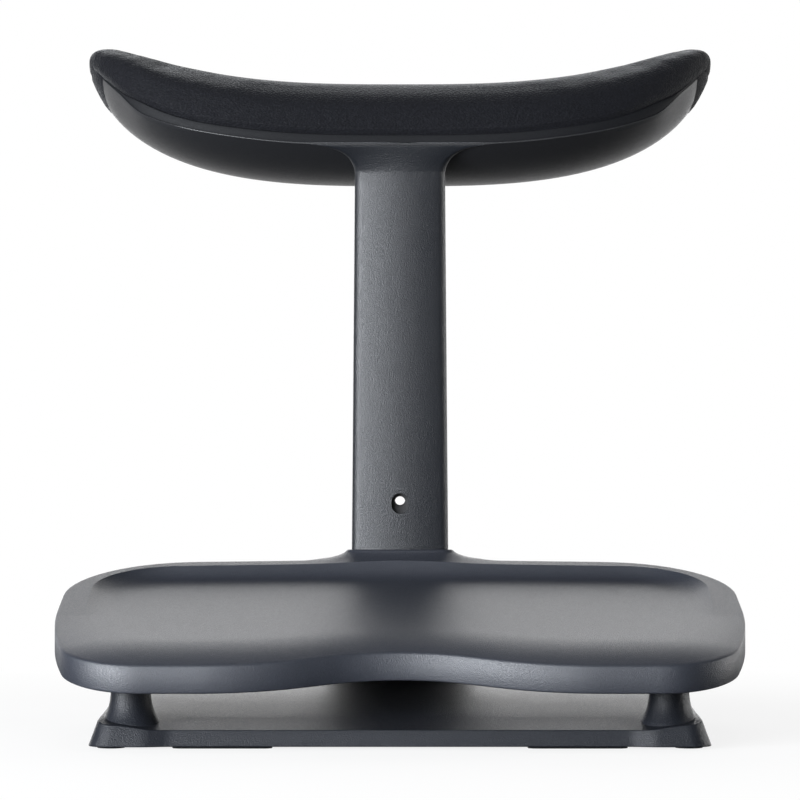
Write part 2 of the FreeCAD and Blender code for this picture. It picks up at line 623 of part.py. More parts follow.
POST_HOLD = "(Dim.post_width + 2 * Dim.fit_clearance)"
upper_guide_bush = slide_ring("upper_guide_bush", f"{CAVITY_WIDTH} - 2 * Dim.running_clearance", POST_HOLD,
                              f"{POST_TOP} - Dim.bush_height", "Dim.bush_height", "Dim.cavity_radius")
stop_ring = slide_ring("stop_ring", f"{COLUMN_WIDTH} - 2 * Dim.stop_inset", POST_HOLD, FLANGE_TOP,
                       "Dim.stop_height", "Dim.column_radius")
lower_guide_bush = slide_ring("lower_guide_bush", f"{CAVITY_WIDTH} - 2 * Dim.fit_clearance",
                              "Dim.post_width + 2 * Dim.running_clearance", COLUMN_BOTTOM, "Dim.bush_height",
                              "Dim.cavity_radius")
cap_plate = square_prism("cap_plate", f"{CAVITY_WIDTH} - 4 * Dim.running_clearance", POST_TOP,
                         "Dim.cap_thickness", "Dim.cavity_radius")
cap_plug = square_prism("cap_plug", f"{POST_INSIDE} - 2 * Dim.fit_clearance", f"{POST_TOP} - Dim.cap_spigot",
                        "Dim.cap_spigot", INSIDE_RADIUS)
post_end_cap = fuse("post_end_cap", [cap_plate, cap_plug])

# Foot tray: sloped moulding with a dish that runs out over a turned-down front edge, a collar and ribs below
RECESS_SIDE = "(Dim.tray_width / 2 - Dim.recess_margin)"
RECESS_CORNER = "(Dim.tray_waist_reach - Dim.tray_rear_rise - Dim.recess_corner_margin)"
RECESS_REAR = "(Dim.tray_waist_reach - Dim.recess_rear_margin)"
RECESS_FLOOR = f"({under_tray(RECESS_REAR)} + Dim.tray_edge - Dim.recess_depth)"
RECESS_END = f"({RECESS_REAR} - Dim.recess_depth / ({TRAY_SLOPE} - tan(Dim.recess_tilt)))"


def recess_level(reach, drop):
    """Level of the dish's floor at a distance behind the origin, lowered by a drop."""
    return f"{RECESS_FLOOR} - ({RECESS_REAR} - ({reach})) * tan(Dim.recess_tilt) - {drop}"


FRONT_FALL = f"({recess_level('-Dim.tray_front_reach', '0')} - Dim.tray_front_level - Dim.tray_edge)"
tray_body = tray_prism("tray_form", "0")
rear_line = tray_line("Dim.tray_edge")[1:]
front_line = [(f"-{FAR}", recess_level(f"-{FAR}", "0")), (RECESS_END, recess_level(RECESS_END, "0"))]
above_tray = [(FAR, f"{TRAY_LEVEL} + {FAR}"), (f"-{FAR}", f"{TRAY_LEVEL} + {FAR}")]
slice_away(tray_body, front_line + rear_line + above_tray)
low_line = tray_line("0")
slice_away(tray_body, low_line + [(FAR, f"-{FAR}"), (f"-{FAR}", f"-2 * {FAR}")])
sloped_tray = tray_body.Tip
front_edges = []
for index, edge in enumerate(sloped_tray.Shape.Edges, start=1):
    middle = edge.valueAt((edge.FirstParameter + edge.LastParameter) / 2)
    top = number(recess_level(str(middle.y), "0"))
    if abs(middle.z - top) < 0.01 and middle.y < -size("tray_side_reach"):
        front_edges.append(f"Edge{index}")
front_fall = tray_body.newObject("PartDesign::Chamfer", "front_fall")
front_fall.Base = (sloped_tray, front_edges)
front_fall.setExpression("Size", FRONT_FALL)
front_fall.recompute()

collar = DOC.addObject("PartDesign::Body", "collar")
collar_half = [(f"{COLLAR_WIDTH} / 2", f"{COLUMN_REACH} - {COLLAR_WIDTH} / 2"),
               (f"{COLLAR_WIDTH} / 2", f"{COLUMN_REACH} + {COLLAR_WIDTH} / 2")]
collar_sketch = polygon(collar, "XY_Plane", mirrored(collar_half), COLLAR_TOP)
pad(collar, collar_sketch, "Dim.collar_height + Dim.tray_edge / 2", down=True)
round_corners(collar, mirrored(collar_half), "Dim.column_radius + Dim.column_clearance + Dim.collar_land")
lean(collar, "Dim.collar_flare", pivot_up=True)

recess = DOC.addObject("PartDesign::Body", "recess")
recess_half = [(RECESS_SIDE, "-Dim.tray_side_reach"), (RECESS_SIDE, RECESS_CORNER), ("0", RECESS_REAR)]
pad(recess, polygon(recess, "XY_Plane", mirrored(recess_half)), f"2 * {COLLAR_TOP}")
round_corners(recess, both_sides(recess_half[1]), "Dim.recess_corner_radius")
round_corners(recess, recess_half[2:], "Dim.recess_middle_radius")
slice_away(recess, [(f"-{FAR}", recess_level(f"-{FAR}", "0")), (FAR, recess_level(FAR, "0")),
                    (FAR, f"-{FAR}"), (f"-{FAR}", f"-2 * {FAR}")])
cove_edges = []
sharp_recess = recess.Tip
for index, edge in enumerate(sharp_recess.Shape.Edges, start=1):
    middle = edge.valueAt((edge.FirstParameter + edge.LastParameter) / 2)
    floor = number(recess_level(str(middle.y), "0"))
    if abs(middle.z - floor) < 0.01 and middle.y > 1 - size("tray_side_reach"):
        cove_edges.append(f"Edge{index}")
cove = recess.newObject("PartDesign::Fillet", "recess_cove")
cove.Base = (sharp_recess, cove_edges)
cove.setExpression("Radius", "Dim.recess_cove")
cove.recompute()

below_floor = DOC.addObject("PartDesign::Body", "below_floor")
pad(below_floor, polygon(below_floor, "YZ_Plane", [
    (f"-{FAR}", recess_level(f"-{FAR}", "Dim.tray_skin")), (FAR, recess_level(FAR, "Dim.tray_skin")),
    (FAR, f"-{FAR}"), (f"-{FAR}", f"-2 * {FAR}")]), FAR, middle=True)
tray_inside = tray_prism("tray_inside", "Dim.tray_wall")
skin_layer = tray_layer("skin_layer", "Dim.panel_thickness / 2", "Dim.tray_edge - Dim.tray_skin")
panel_layer = tray_layer("panel_layer", "0", "Dim.panel_thickness")
hollow = common("tray_hollow", [tray_inside, skin_layer, below_floor])
solid_parts = [square_prism("passage_wall", TOWER_WIDTH, "0", FAR, "Dim.tower_radius")]
RIB_COUNT = 4
for index in range(RIB_COUNT):
    x = f"({index} - {RIB_COUNT - 1} / 2) * Dim.tray_rib_spacing"
    solid_parts.append(block(f"tray_rib_{index}", "Dim.tray_rib", FAR, FAR, x, "0", "0"))
solid_parts.append(block("tray_cross_rib", FAR, "Dim.tray_rib", FAR, "0", "-Dim.tray_cross_rib_reach", "0"))
tray_tools = [recess]
for side, sign in SIDES:
    x = f"{sign}{PILLAR_X}"
    solid_parts.append(cylinder(f"tray_boss_{side}", "Dim.tray_boss_radius", FAR, x, PILLAR_Y, "0"))
    tray_tools.append(cylinder(f"tray_pilot_{side}", PILOT_RADIUS,
                               f"{PILLAR_SEAT} + Dim.screw_grip + Dim.screw_bite", x, PILLAR_Y, "0"))
for name, x, y in tower_places:
    tray_tools.append(cylinder(f"tray_pilot_{name}", PILOT_RADIUS,
                               f"{TOWER_SEAT} + Dim.tower_grip + Dim.screw_bite", x, y, "0"))
tray_tools.append(cut("tray_cells", hollow, [fuse("tray_ribs", solid_parts)]))
tray_tools.append(common("panel_seat", [tray_inside, panel_layer]))
passage = square_prism("passage", f"{COLUMN_WIDTH} + 2 * Dim.column_clearance", "0", FAR,
                       "Dim.column_radius + Dim.column_clearance")
tray_tools.append(passage)
foot_tray = cut("foot_tray", fuse("tray_with_collar", [tray_body, collar]), tray_tools)

# Panel under the tray, and the screws that hold both
panel_outline = tray_prism("panel_outline", "(Dim.tray_wall + Dim.fit_clearance)")
panel_form = common("panel_form", [panel_outline, panel_layer])
panel_tools = [passage]
tray_front_set = []
for side, sign in SIDES:
    x = f"{sign}{PILLAR_X}"
    panel_tools.append(cylinder(f"panel_hole_{side}", HOLE_RADIUS, FAR, x, PILLAR_Y, "0"))
    tray_front_set.append(screw(f"tray_front_screw_{side}", x, PILLAR_Y, PILLAR_SEAT,
                                "Dim.screw_grip + Dim.screw_bite - Dim.fit_clearance", "Dim.screw_radius",
                                SCREW_HEAD, "Dim.screw_head_height", False))
tray_rear_set = []
for name, x, y in tower_places:
    panel_tools.append(cylinder(f"panel_hole_{name}", HOLE_RADIUS, FAR, x, y, "0"))
    tray_rear_set.append(screw(f"tray_rear_screw_{name}", x, y, TOWER_SEAT,
                               "Dim.tower_grip + Dim.screw_bite - Dim.fit_clearance", "Dim.screw_radius",
                               SCREW_HEAD, "Dim.screw_head_height", False))
tray_bottom_panel = cut("tray_bottom_panel", panel_form, panel_tools)
tray_front_screws = group("tray_front_screws", tray_front_set)
tray_rear_screws = group("tray_rear_screws", tray_rear_set)


# Leg cushion and its shell: sections across the pad, each an arc or two between straight lines
def share(x, width):
    """Place across a piece, nought in the middle and one at its end."""
    return min(1, abs(x) / (width / 2))


def curl(x, width):
    """Upward curl towards the ends, nought in the middle."""
    return 1 - math.sqrt(1 - share(x, width) ** 3)


def half_depth(x, width):
    """Half of a piece's depth at a place across it."""
    return size("pad_depth") / 2 * math.sqrt(1 - share(x, width) ** 4)


def rim(x):
    """Level of the shell's rim."""
    return number(RIM_LEVEL) + size("rim_curl") * curl(x, RIM_RUN)


def belly(x):
    """Level of the shell's belly."""
    return number(RIM_LEVEL) - size("belly_depth") + size("belly_curl") * curl(x, SHELL_WIDTH)


def band_top(x):
    """Top of the shell's upright band, which thins out towards the ends."""
    return rim(x) + size("rim_band") * (1 - curl(x, RIM_RUN))


def crown(x, width):
    """Crown of the cushion above the band."""
    return size("cushion_thickness") * math.sqrt(1 - share(x, width) ** 8)


def stations(width):
    """Places across a piece, closer towards its ends."""
    turns = [math.pi / 2 * step / STATIONS for step in range(1, STATIONS + 1)]
    right = [END_SHARE * width / 2 * math.sin(turn) for turn in turns]
    return [-x for x in reversed(right)] + [0] + right


def section(x, points, arcs):
    """Closed wire at one station; an arc takes three of the points, a line takes two."""
    middle = number(PAD_REACH)
    corners = [FreeCAD.Vector(x, middle + y, z) for y, z in points]
    edges = []
    for run in arcs:
        picked = [corners[index] for index in run]
        curve = Part.Arc(*picked) if len(run) == 3 else Part.LineSegment(*picked)
        edges.append(curve.toShape())
    return Part.Wire(edges)


def loft(label, width, shape_at, arcs):
    """Solid through one section per station."""
    item = DOC.addObject("Part::Feature", label)
    wires = [section(x, shape_at(x), arcs) for x in stations(width)]
    item.Shape = Part.makeLoft(wires, True)
    return item


BOWL = [(0, 1, 2), (2, 3), (3, 4), (4, 0)]
SQUARE = [(0, 1), (1, 2), (2, 3), (3, 0)]
CUSHION = [(0, 1, 2), (2, 3), (3, 4, 5), (5, 6), (6, 7, 8), (8, 0)]
STATIONS = 9
END_SHARE = 0.995
SHOULDER_IN = 0.86
SHOULDER_UP = 0.9
BULGE_LOW = 0.4
BULGE_HIGH = 0.62
PAD_WIDTH = size("pad_width")
RIM_RUN = PAD_WIDTH + 2 * size("rim_overrun")
SHELL_WIDTH = PAD_WIDTH - 2 * size("shell_inset")
VOID_WIDTH = SHELL_WIDTH - 2 * size("shell_wall")
BOARD_WIDTH = VOID_WIDTH - 4 * size("board_gap")
FOAM_WIDTH = PAD_WIDTH - 2 * size("cover_thickness")


def hull_section(x):
    """Outside of the shell."""
    reach = half_depth(x, SHELL_WIDTH)
    return [(-reach, rim(x)), (0, belly(x)), (reach, rim(x)), (reach, band_top(x)), (-reach, band_top(x))]


def hull_inside(x):
    """Inside of the shell, open at the top."""
    wall = size("shell_wall")
    reach = half_depth(x, VOID_WIDTH) * (1 - 2 * wall / size("pad_depth"))
    top = band_top(x) + size("rim_band")
    low = rim(x) + wall / 2
    bottom = min(belly(x) + wall, low - wall / 2)
    return [(-reach, low), (0, bottom), (reach, low), (reach, top), (-reach, top)]


def above_board(x):
    """Everything over the board's underside."""
    reach = size("pad_depth")
    low = band_top(x) - size("board_thickness")
    return [(-reach, low), (reach, low), (reach, low + size("pad_depth")), (-reach, low + size("pad_depth"))]


def board_section(x):
    """Board that fills the mouth of the shell."""
    reach = half_depth(x, BOARD_WIDTH) * (1 - 2 * (size("shell_wall") + size("board_gap")) / size("pad_depth"))
    low = band_top(x) - size("board_thickness")
    return [(-reach, low), (reach, low), (reach, band_top(x)), (-reach, band_top(x))]


def cushion_section(x, width, skin):
    """Crowned cushion with drawn-in sides, less a skin."""
    reach = half_depth(x, width) * (1 - 2 * skin / size("pad_depth"))
    low = band_top(x) + size("cushion_gap") + skin
    tall = crown(x, width) * (1 - 2 * skin / size("cushion_thickness"))
    bulge = reach * (1 + 2 * size("cushion_bulge") / size("pad_depth"))
    shoulder = SHOULDER_IN * reach
    left = [(-reach, low), (-bulge, low + BULGE_LOW * tall), (-bulge, low + BULGE_HIGH * tall),
            (-shoulder, low + SHOULDER_UP * tall)]
    right = [(-y, z) for y, z in reversed(left)]
    return left + [(0, low + tall)] + right


def foam_section(x):
    """Foam core inside its cover."""
    return cushion_section(x, FOAM_WIDTH, size("cover_thickness"))


def cover_section(x):
    """Outside of the cover."""
    return cushion_section(x, PAD_WIDTH, 0)


hull = loft("hull", SHELL_WIDTH, hull_section, BOWL)
hull_void = loft("hull_void", VOID_WIDTH, hull_inside, BOWL)
board_zone = loft("board_zone", PAD_WIDTH, above_board, SQUARE)
board_form = loft("board_form", BOARD_WIDTH, board_section, SQUARE)
foam_form = loft("foam_form", FOAM_WIDTH, foam_section, CUSHION)
cover_outside = loft("cover_outside", PAD_WIDTH, cover_section, CUSHION)

head_places = spots("Dim.head_bolt_spacing", "Dim.head_bolt_depth", BRACKET_REACH)
pad_places = spots("Dim.cushion_screw_spacing", "Dim.cushion_screw_depth", PAD_REACH)
shell_blocks = [block("seat_block", "Dim.bracket_length + 2 * Dim.seat_margin",
                      "Dim.bracket_width + 2 * Dim.seat_margin", SEAT_LEVEL, "0", BRACKET_REACH, "0")]
for name, x, y in pad_places:
    shell_blocks.append(cylinder(f"pad_boss_{name}", "Dim.cushion_boss_radius", FAR, x, y, "0"))
shell_inside = common("shell_inside", [fuse("shell_blocks", shell_blocks), hull])
BOARD_LEVEL = band_top(size("cushion_screw_spacing") / 2) - size("board_thickness")
CUSHION_SEAT = f"({BOARD_LEVEL:.3f} - Dim.screw_grip)"
INSERT_RADIUS = "(Dim.screw_radius + Dim.insert_wall)"
shell_tools = [board_zone]
cushion_screw_set = []
insert_set = []
board_tools = []
for name, x, y in pad_places:
    shell_tools.append(cylinder(f"shell_channel_{name}", CHANNEL_RADIUS, CUSHION_SEAT, x, y, "0"))
    shell_tools.append(cylinder(f"shell_hole_{name}", HOLE_RADIUS, FAR, x, y, "0"))
    cushion_screw_set.append(screw(f"cushion_screw_{name}", x, y, CUSHION_SEAT,
                                   "Dim.screw_grip + Dim.board_thickness / 2", "Dim.screw_radius",
                                   SCREW_HEAD, "Dim.screw_head_height", False))
    barrel = cylinder(f"insert_form_{name}", INSERT_RADIUS, FAR, x, y, "0")
    bore = cylinder(f"insert_bore_{name}", PILOT_RADIUS, FAR, x, y, "0")
    ring = cut(f"insert_ring_{name}", barrel, [bore])
    insert_set.append(common(f"insert_{name}", [ring, board_form]))
    board_tools.append(cylinder(f"board_hole_{name}", f"{INSERT_RADIUS} + Dim.thread_clearance", FAR,
                                x, y, "0"))
bolt_clear = [cylinder(f"bolt_hole_{name}", BOLT_HOLE, FAR, x, y, "0") for name, x, y in head_places]
shell_skin = cut("shell_skin", hull, [hull_void])
pad_shell = cut("pad_shell", fuse("shell_form", [shell_skin, shell_inside]), shell_tools + bolt_clear)
cushion_board = cut("cushion_board", board_form, board_tools)
board_inserts = group("board_inserts", insert_set)
cushion_screws = group("cushion_screws", cushion_screw_set)
cushion_foam = DOC.addObject("Part::Feature", "cushion_foam")
cushion_foam.Shape = foam_form.Shape
cushion_cover = cut("cushion_cover", cover_outside, [foam_form])

# Head bracket and bolts inside the shell
bracket_form = block("bracket_form", "Dim.bracket_length", "Dim.bracket_width", "Dim.bracket_thickness", "0",
                     BRACKET_REACH, SEAT_LEVEL)
head_bracket = cut("head_bracket", bracket_form, bolt_clear + [shell_skin])
BOLT_SEAT = f"({SEAT_LEVEL} + Dim.bracket_thickness)"
BOLT_REACH = "(Dim.bracket_thickness - Dim.seat_drop + Dim.belly_depth + Dim.head_bolt_bite)"
head_bolts = group("head_bolts", [
    screw(f"head_bolt_{name}", x, y, BOLT_SEAT, BOLT_REACH, "Dim.bolt_radius", BOLT_HEAD,
          "Dim.bolt_head_height", True)
    for name, x, y in head_places])

# Column: square skirt, slight taper, flared head
skirt = square_prism("skirt", COLUMN_WIDTH, COLUMN_BOTTOM, f"{COLLAR_TOP} - {COLUMN_BOTTOM}",
                     "Dim.column_radius")
SHAFT_LENGTH = f"({FLARE_START} - {COLLAR_TOP})"
shaft = square_prism("shaft", COLUMN_WIDTH, COLLAR_TOP, SHAFT_LENGTH, "Dim.column_radius")
lean(shaft, f"atan(Dim.column_taper / {SHAFT_LENGTH})")


def flare_wire(share):
    """Rounded outline of the head at a share of the flare's height, on a quarter ellipse."""
    swell = 1 - math.sqrt(1 - share ** 2)
    neck = number(NECK_WIDTH) / 2
    half = neck + size("flare_side") * swell
    neck_front = number(COLUMN_REACH) - neck
    rim_front = number(PAD_REACH) - size("pad_depth") / 2 + size("flare_setback")
    front = neck_front + (rim_front - neck_front) * swell
    rear = number(COLUMN_REACH) + neck + size("flare_rear") * swell
    radius = size("column_radius") * (1 + swell)
    level = number(FLARE_START) + size("flare_height") * share
    corner_block = Part.makePolygon([FreeCAD.Vector(-half, front, level), FreeCAD.Vector(half, front, level),
                                     FreeCAD.Vector(half, rear, level), FreeCAD.Vector(-half, rear, level),
                                     FreeCAD.Vector(-half, front, level)])
    solid = Part.Face(corner_block).extrude(FreeCAD.Vector(0, 0, 1))
    upright = [edge for edge in solid.Edges if abs(edge.Vertexes[0].Z - edge.Vertexes[1].Z) > 0.5]
    rounded = solid.makeFillet(radius, upright)
    lowest = min(rounded.Faces, key=lambda face: face.CenterOfMass.z)
    return lowest.OuterWire


flare = DOC.addObject("Part::Feature", "flare")
FLARE_STEPS = 5
flare_turns = [math.pi / 2 * step / FLARE_STEPS for step in range(FLARE_STEPS + 1)]
flare.Shape = Part.makeLoft([flare_wire(math.sin(turn)) for turn in flare_turns], True)
column_form = cut("column_form", fuse("column_block", [skirt, shaft, flare]), [hull])
cavity = square_prism("cavity", CAVITY_WIDTH, COLUMN_BOTTOM, f"{CAVITY_TOP} - {COLUMN_BOTTOM}",
                      "Dim.cavity_radius")
COLUMN_FRONT = f"({COLUMN_REACH} - {COLUMN_WIDTH} / 2)"
SLOT_LOW = f"({PIN_LEVEL} - Dim.pin_slot_drop)"
SLOT_LENGTH = f"({COLUMN_WIDTH} / 2)"
column_tools = [
    cavity,
    cross_cylinder("slot_top", "Dim.pin_slot_diameter / 2", SLOT_LENGTH, "0", COLUMN_FRONT, PIN_LEVEL),
    cross_cylinder("slot_bottom", "Dim.pin_slot_diameter / 2", SLOT_LENGTH, "0", COLUMN_FRONT, SLOT_LOW),
    block("slot_middle", "Dim.pin_slot_diameter", SLOT_LENGTH, "Dim.pin_slot_drop", "0",
          f"{COLUMN_FRONT} + {SLOT_LENGTH} / 2", SLOT_LOW),
    cross_cylinder("pin_rear", "Dim.pin_rear_diameter / 2", COLUMN_WIDTH, "0", COLUMN_REACH, PIN_LEVEL),
]
column_tools += [cylinder(f"head_hole_{name}", "Dim.bolt_radius + Dim.thread_clearance", FAR, x, y,
                          f"{BOLT_SEAT} - {BOLT_REACH} - Dim.fit_clearance")
                 for name, x, y in head_places]
column = cut("column", column_form, column_tools)

# Check every piece and write it out
NODES = [
    base_cover, base_plate, cover_screws, corner_feet, strip_feet, post_flange, flange_bolts, guide_post,
    post_end_cap, upper_guide_bush, stop_ring, foot_tray, tray_bottom_panel, tray_front_screws,
    tray_rear_screws, column, lower_guide_bush, pad_shell, head_bracket, head_bolts, cushion_board,
    board_inserts, cushion_screws, cushion_foam, cushion_cover,
]
DOC.recompute()
broken = [item.Label for item in DOC.Objects if "Invalid" in item.State or "Error" in item.State]
if broken:
    raise ValueError("did not build: " + ", ".join(broken))
os.makedirs("parts", exist_ok=True)
for node in NODES:
    shape = node.Shape
    if shape.isNull() or not shape.isValid():
        raise ValueError(f"{node.Label} is not a valid shape")
    shape.exportStep(f"parts/{node.Label}.step")
    print(node.Label, len(shape.Solids), round(shape.Volume / 1000, 1), "cm3")
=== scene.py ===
"""Free-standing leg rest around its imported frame: base, tilted foot tray, sliding column and leg cushion."""
import math

import bmesh
import bpy
import numpy
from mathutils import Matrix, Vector
from mathutils.bvhtree import BVHTree
from mathutils.geometry import delaunay_2d_cdt


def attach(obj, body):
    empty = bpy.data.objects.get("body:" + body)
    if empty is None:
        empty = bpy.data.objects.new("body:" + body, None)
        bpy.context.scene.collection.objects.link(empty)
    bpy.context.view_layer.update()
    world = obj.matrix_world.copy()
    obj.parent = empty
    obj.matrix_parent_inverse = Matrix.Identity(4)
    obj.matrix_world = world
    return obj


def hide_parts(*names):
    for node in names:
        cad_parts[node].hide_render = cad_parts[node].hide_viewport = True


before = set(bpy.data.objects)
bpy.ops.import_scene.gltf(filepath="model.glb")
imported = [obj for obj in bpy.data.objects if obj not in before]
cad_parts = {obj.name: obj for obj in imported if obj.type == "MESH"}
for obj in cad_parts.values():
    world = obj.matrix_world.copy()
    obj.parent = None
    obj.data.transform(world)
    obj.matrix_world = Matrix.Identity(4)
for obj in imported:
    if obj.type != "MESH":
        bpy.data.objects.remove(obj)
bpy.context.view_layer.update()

scene = bpy.context.scene

# Rubber feet and stop ring: four round pads, four long ones and a ring, punched from black sheet rubber.
# The pads are glued into shallow seats in the ballast plate and stand 1.5 mm proud of it.
# The ring lies round the guide post, and the lowered column rests on it.


def object_noise(tree, scale, detail, stretch=(1, 1, 1)):
    """Noise fixed to the piece itself."""
    place = tree.nodes.new("ShaderNodeTexCoord")
    mapping = tree.nodes.new("ShaderNodeMapping")
    mapping.inputs["Scale"].default_value = stretch
    noise = tree.nodes.new("ShaderNodeTexNoise")
    noise.inputs["Scale"].default_value = scale
    noise.inputs["Detail"].default_value = detail
    tree.links.new(place.outputs["Object"], mapping.inputs["Vector"])
    tree.links.new(mapping.outputs["Vector"], noise.inputs["Vector"])
    return noise.outputs["Fac"]


def mottle(tree, socket, noise, low, high):
    """Vary a shader's colour or amount between two values with a noise."""
    ramp = tree.nodes.new("ShaderNodeValToRGB")
    ramp.color_ramp.elements[0].position = 0.3
    ramp.color_ramp.elements[1].position = 0.7
    ramp.color_ramp.elements[0].color = (*low, 1)
    ramp.color_ramp.elements[1].color = (*high, 1)
    tree.links.new(noise, ramp.inputs["Fac"])
    tree.links.new(ramp.outputs["Color"], socket)


def add_relief(tree, shader, height, depth):
    """Bump from a texture's height, its depth in metres."""
    bump = tree.nodes.new("ShaderNodeBump")
    bump.inputs["Strength"].default_value = 1.0
    bump.inputs["Distance"].default_value = depth
    tree.links.new(height, bump.inputs["Height"])
    tree.links.new(bump.outputs["Normal"], shader.inputs["Normal"])


def grained_finish(name, colour, roughness, tones, tone_noise, polish, polish_noise,
                   grain_noise=None, grain_depth=0.0, metallic=0.0, gloss=0.5):
    """Material with a mottled colour, an uneven polish and a fine relief.

    A noise is given as its scale and detail, with a stretch where it follows a grain.
    """
    finish = bpy.data.materials.new(name)
    finish.use_nodes = True
    tree = finish.node_tree
    shader = tree.nodes["Principled BSDF"]
    shader.inputs["Base Color"].default_value = (*colour, 1)
    shader.inputs["Roughness"].default_value = roughness
    shader.inputs["Metallic"].default_value = metallic
    shader.inputs["Specular IOR Level"].default_value = gloss
    smooth, rough = polish
    mottle(tree, shader.inputs["Base Color"], object_noise(tree, *tone_noise), *tones)
    mottle(tree, shader.inputs["Roughness"], object_noise(tree, *polish_noise), (smooth,) * 3, (rough,) * 3)
    if grain_noise:
        add_relief(tree, shader, object_noise(tree, *grain_noise), grain_depth)
    return finish


def finish_nodes(finish, *names):
    """Give CAD nodes a finish."""
    for name in names:
        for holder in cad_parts[name].material_slots:
            holder.material = finish


rubber = grained_finish("foot_rubber", (0.012, 0.012, 0.013), 0.85,
                        tones=((0.009, 0.009, 0.01), (0.018, 0.018, 0.019)), tone_noise=(90, 3),
                        polish=(0.75, 0.95), polish_noise=(300, 2),
                        grain_noise=(1400, 2), grain_depth=0.0001)
finish_nodes(rubber, "corner_feet", "strip_feet", "stop_ring")

# Ballast plate, post flange, guide post and head bracket: laser-cut and welded steel.
# They are powder coated black, with the faint orange peel of that coat.
powder = grained_finish("plate_steel", (0.02, 0.02, 0.022), 0.5,
                        tones=((0.016, 0.016, 0.018), (0.027, 0.027, 0.029)), tone_noise=(40, 3),
                        polish=(0.42, 0.58), polish_noise=(220, 2),
                        grain_noise=(900, 2), grain_depth=0.00012)
finish_nodes(powder, "base_plate", "post_flange", "guide_post", "head_bracket")

# Screws and bolts: cold-headed steel, zinc plated, with the faint streaks of the plating bath.
# They hold the plate, flange, tray, bracket and cushion board, and all are driven out of sight.
zinc = grained_finish("zinc_steel", (0.6, 0.6, 0.58), 0.32, metallic=1.0,
                      tones=((0.5, 0.5, 0.47), (0.68, 0.68, 0.66)), tone_noise=(260, 3),
                      polish=(0.25, 0.42), polish_noise=(700, 2),
                      grain_noise=(2500, 1), grain_depth=0.00003)
finish_nodes(zinc, "cover_screws", "flange_bolts", "tray_front_screws", "tray_rear_screws",
             "head_bolts", "cushion_screws")

# Slide rings and end cap: moulded in natural acetal, slightly waxy.
# The rings guide the column on its post, and the cap is pressed into the top of the tube.
acetal = grained_finish("bush_plastic", (0.75, 0.74, 0.69), 0.35,
                        tones=((0.7, 0.69, 0.64), (0.79, 0.78, 0.74)), tone_noise=(60, 2),
                        polish=(0.3, 0.42), polish_noise=(400, 2),
                        grain_noise=(1200, 1), grain_depth=0.00004)
finish_nodes(acetal, "post_end_cap", "upper_guide_bush", "lower_guide_bush")

# Base cover: one low domed moulding in slate-grey plastic, with a crisp edge above its front band.
# Two flared corner pillars and a centre tower rise from it, and the tray is screwed to them from below.


def slate_finish(name, dark, light, shine, grain, gloss=0.5):
    """Moulded plastic with a fine sandy texture and a satin surface."""
    return grained_finish(name, dark, shine, tones=(dark, light), tone_noise=(1100, 2),
                          polish=(shine - 0.05, shine + 0.06), polish_noise=(900, 2),
                          grain_noise=(1500, 2), grain_depth=grain, gloss=gloss)


def both_sides(half):
    """Corners of a right half, then their mirror images on the left."""
    return half + [(-x, y, radius) for x, y, radius in reversed(half)]


def rounded_loop(corners, arc_steps, edge_steps):
    """Points round a closed outline whose corners are x, y and radius, anticlockwise from above, in mm."""
    count = len(corners)
    arcs = []
    for index, (x, y, radius) in enumerate(corners):
        corner = Vector((x, y))
        before = (Vector(corners[index - 1][:2]) - corner).normalized()
        after = (Vector(corners[(index + 1) % count][:2]) - corner).normalized()
        half = before.angle(after) / 2
        reach = radius / math.tan(half)
        middle = corner + (before + after).normalized() * (radius / math.sin(half))
        start = corner + before * reach - middle
        end = corner + after * reach - middle
        turn = start.angle_signed(end)
        points = []
        for step in range(arc_steps + 1):
            angle = -turn * step / arc_steps
            points.append(middle + Vector((start.x * math.cos(angle) - start.y * math.sin(angle),
                                           start.x * math.sin(angle) + start.y * math.cos(angle))))
        arcs.append(points)
    loop = []
    for index, points in enumerate(arcs):
        following = arcs[(index + 1) % count][0]
        loop += points
        loop += [points[-1].lerp(following, step / edge_steps) for step in range(1, edge_steps)]
    return loop


def full_turn(steps):
    """Even angles round a circle."""
    return [2 * math.pi * step / steps for step in range(steps)]


def joined_rings(rings, closed=False):
    """Points and faces of a skin over rings that have the same number of points, its ends closed or open."""
    size = len(rings[0])
    points = [tuple(point) for ring in rings for point in ring]
    faces = []
    for row in range(len(rings) - 1):
        for index in range(size):
            following = (index + 1) % size
            faces.append((row * size + index, row * size + following,
                          (row + 1) * size + following, (row + 1) * size + index))
    if closed:
        faces.append(tuple(reversed(range(size))))
        faces.append(tuple(range((len(rings) - 1) * size, len(rings) * size)))
    return points, faces


def new_piece(name, skins, finish, crease=32):
    """Mesh object from skins given in mm, smooth but for edges sharper than the crease."""
    points = []
    faces = []
    for skin_points, skin_faces in skins:
        first = len(points)
        points += [(x / 1000, y / 1000, z / 1000) for x, y, z in skin_points]
        faces += [tuple(first + index for index in face) for face in skin_faces]
    mesh = bpy.data.meshes.new(name)
    mesh.from_pydata(points, [], faces)
    merged = bmesh.new()
    merged.from_mesh(mesh)
    bmesh.ops.remove_doubles(merged, verts=merged.verts, dist=0.000005)
    bmesh.ops.recalc_face_normals(merged, faces=merged.faces)
    merged.to_mesh(mesh)
    merged.free()
    mesh.shade_smooth()
    mesh.set_sharp_from_angle(angle=math.radians(crease))
    mesh.materials.append(finish)
    piece = bpy.data.objects.new(name, mesh)
    scene.collection.objects.link(piece)
    return piece


TRAY_SLOPE = math.tan(math.radians(12.3))
TRAY_FRONT = -217.5
TRAY_KNEE = 50.0
TRAY_BOTTOM = 38.0
SEAT_GAP = 0.05
COLUMN_Y = 88.0


def under_tray(y):
    """Level of the tray's underside, which slopes up to a knee and is level behind it."""
    return TRAY_BOTTOM + (min(y, TRAY_KNEE) - TRAY_FRONT) * TRAY_SLOPE


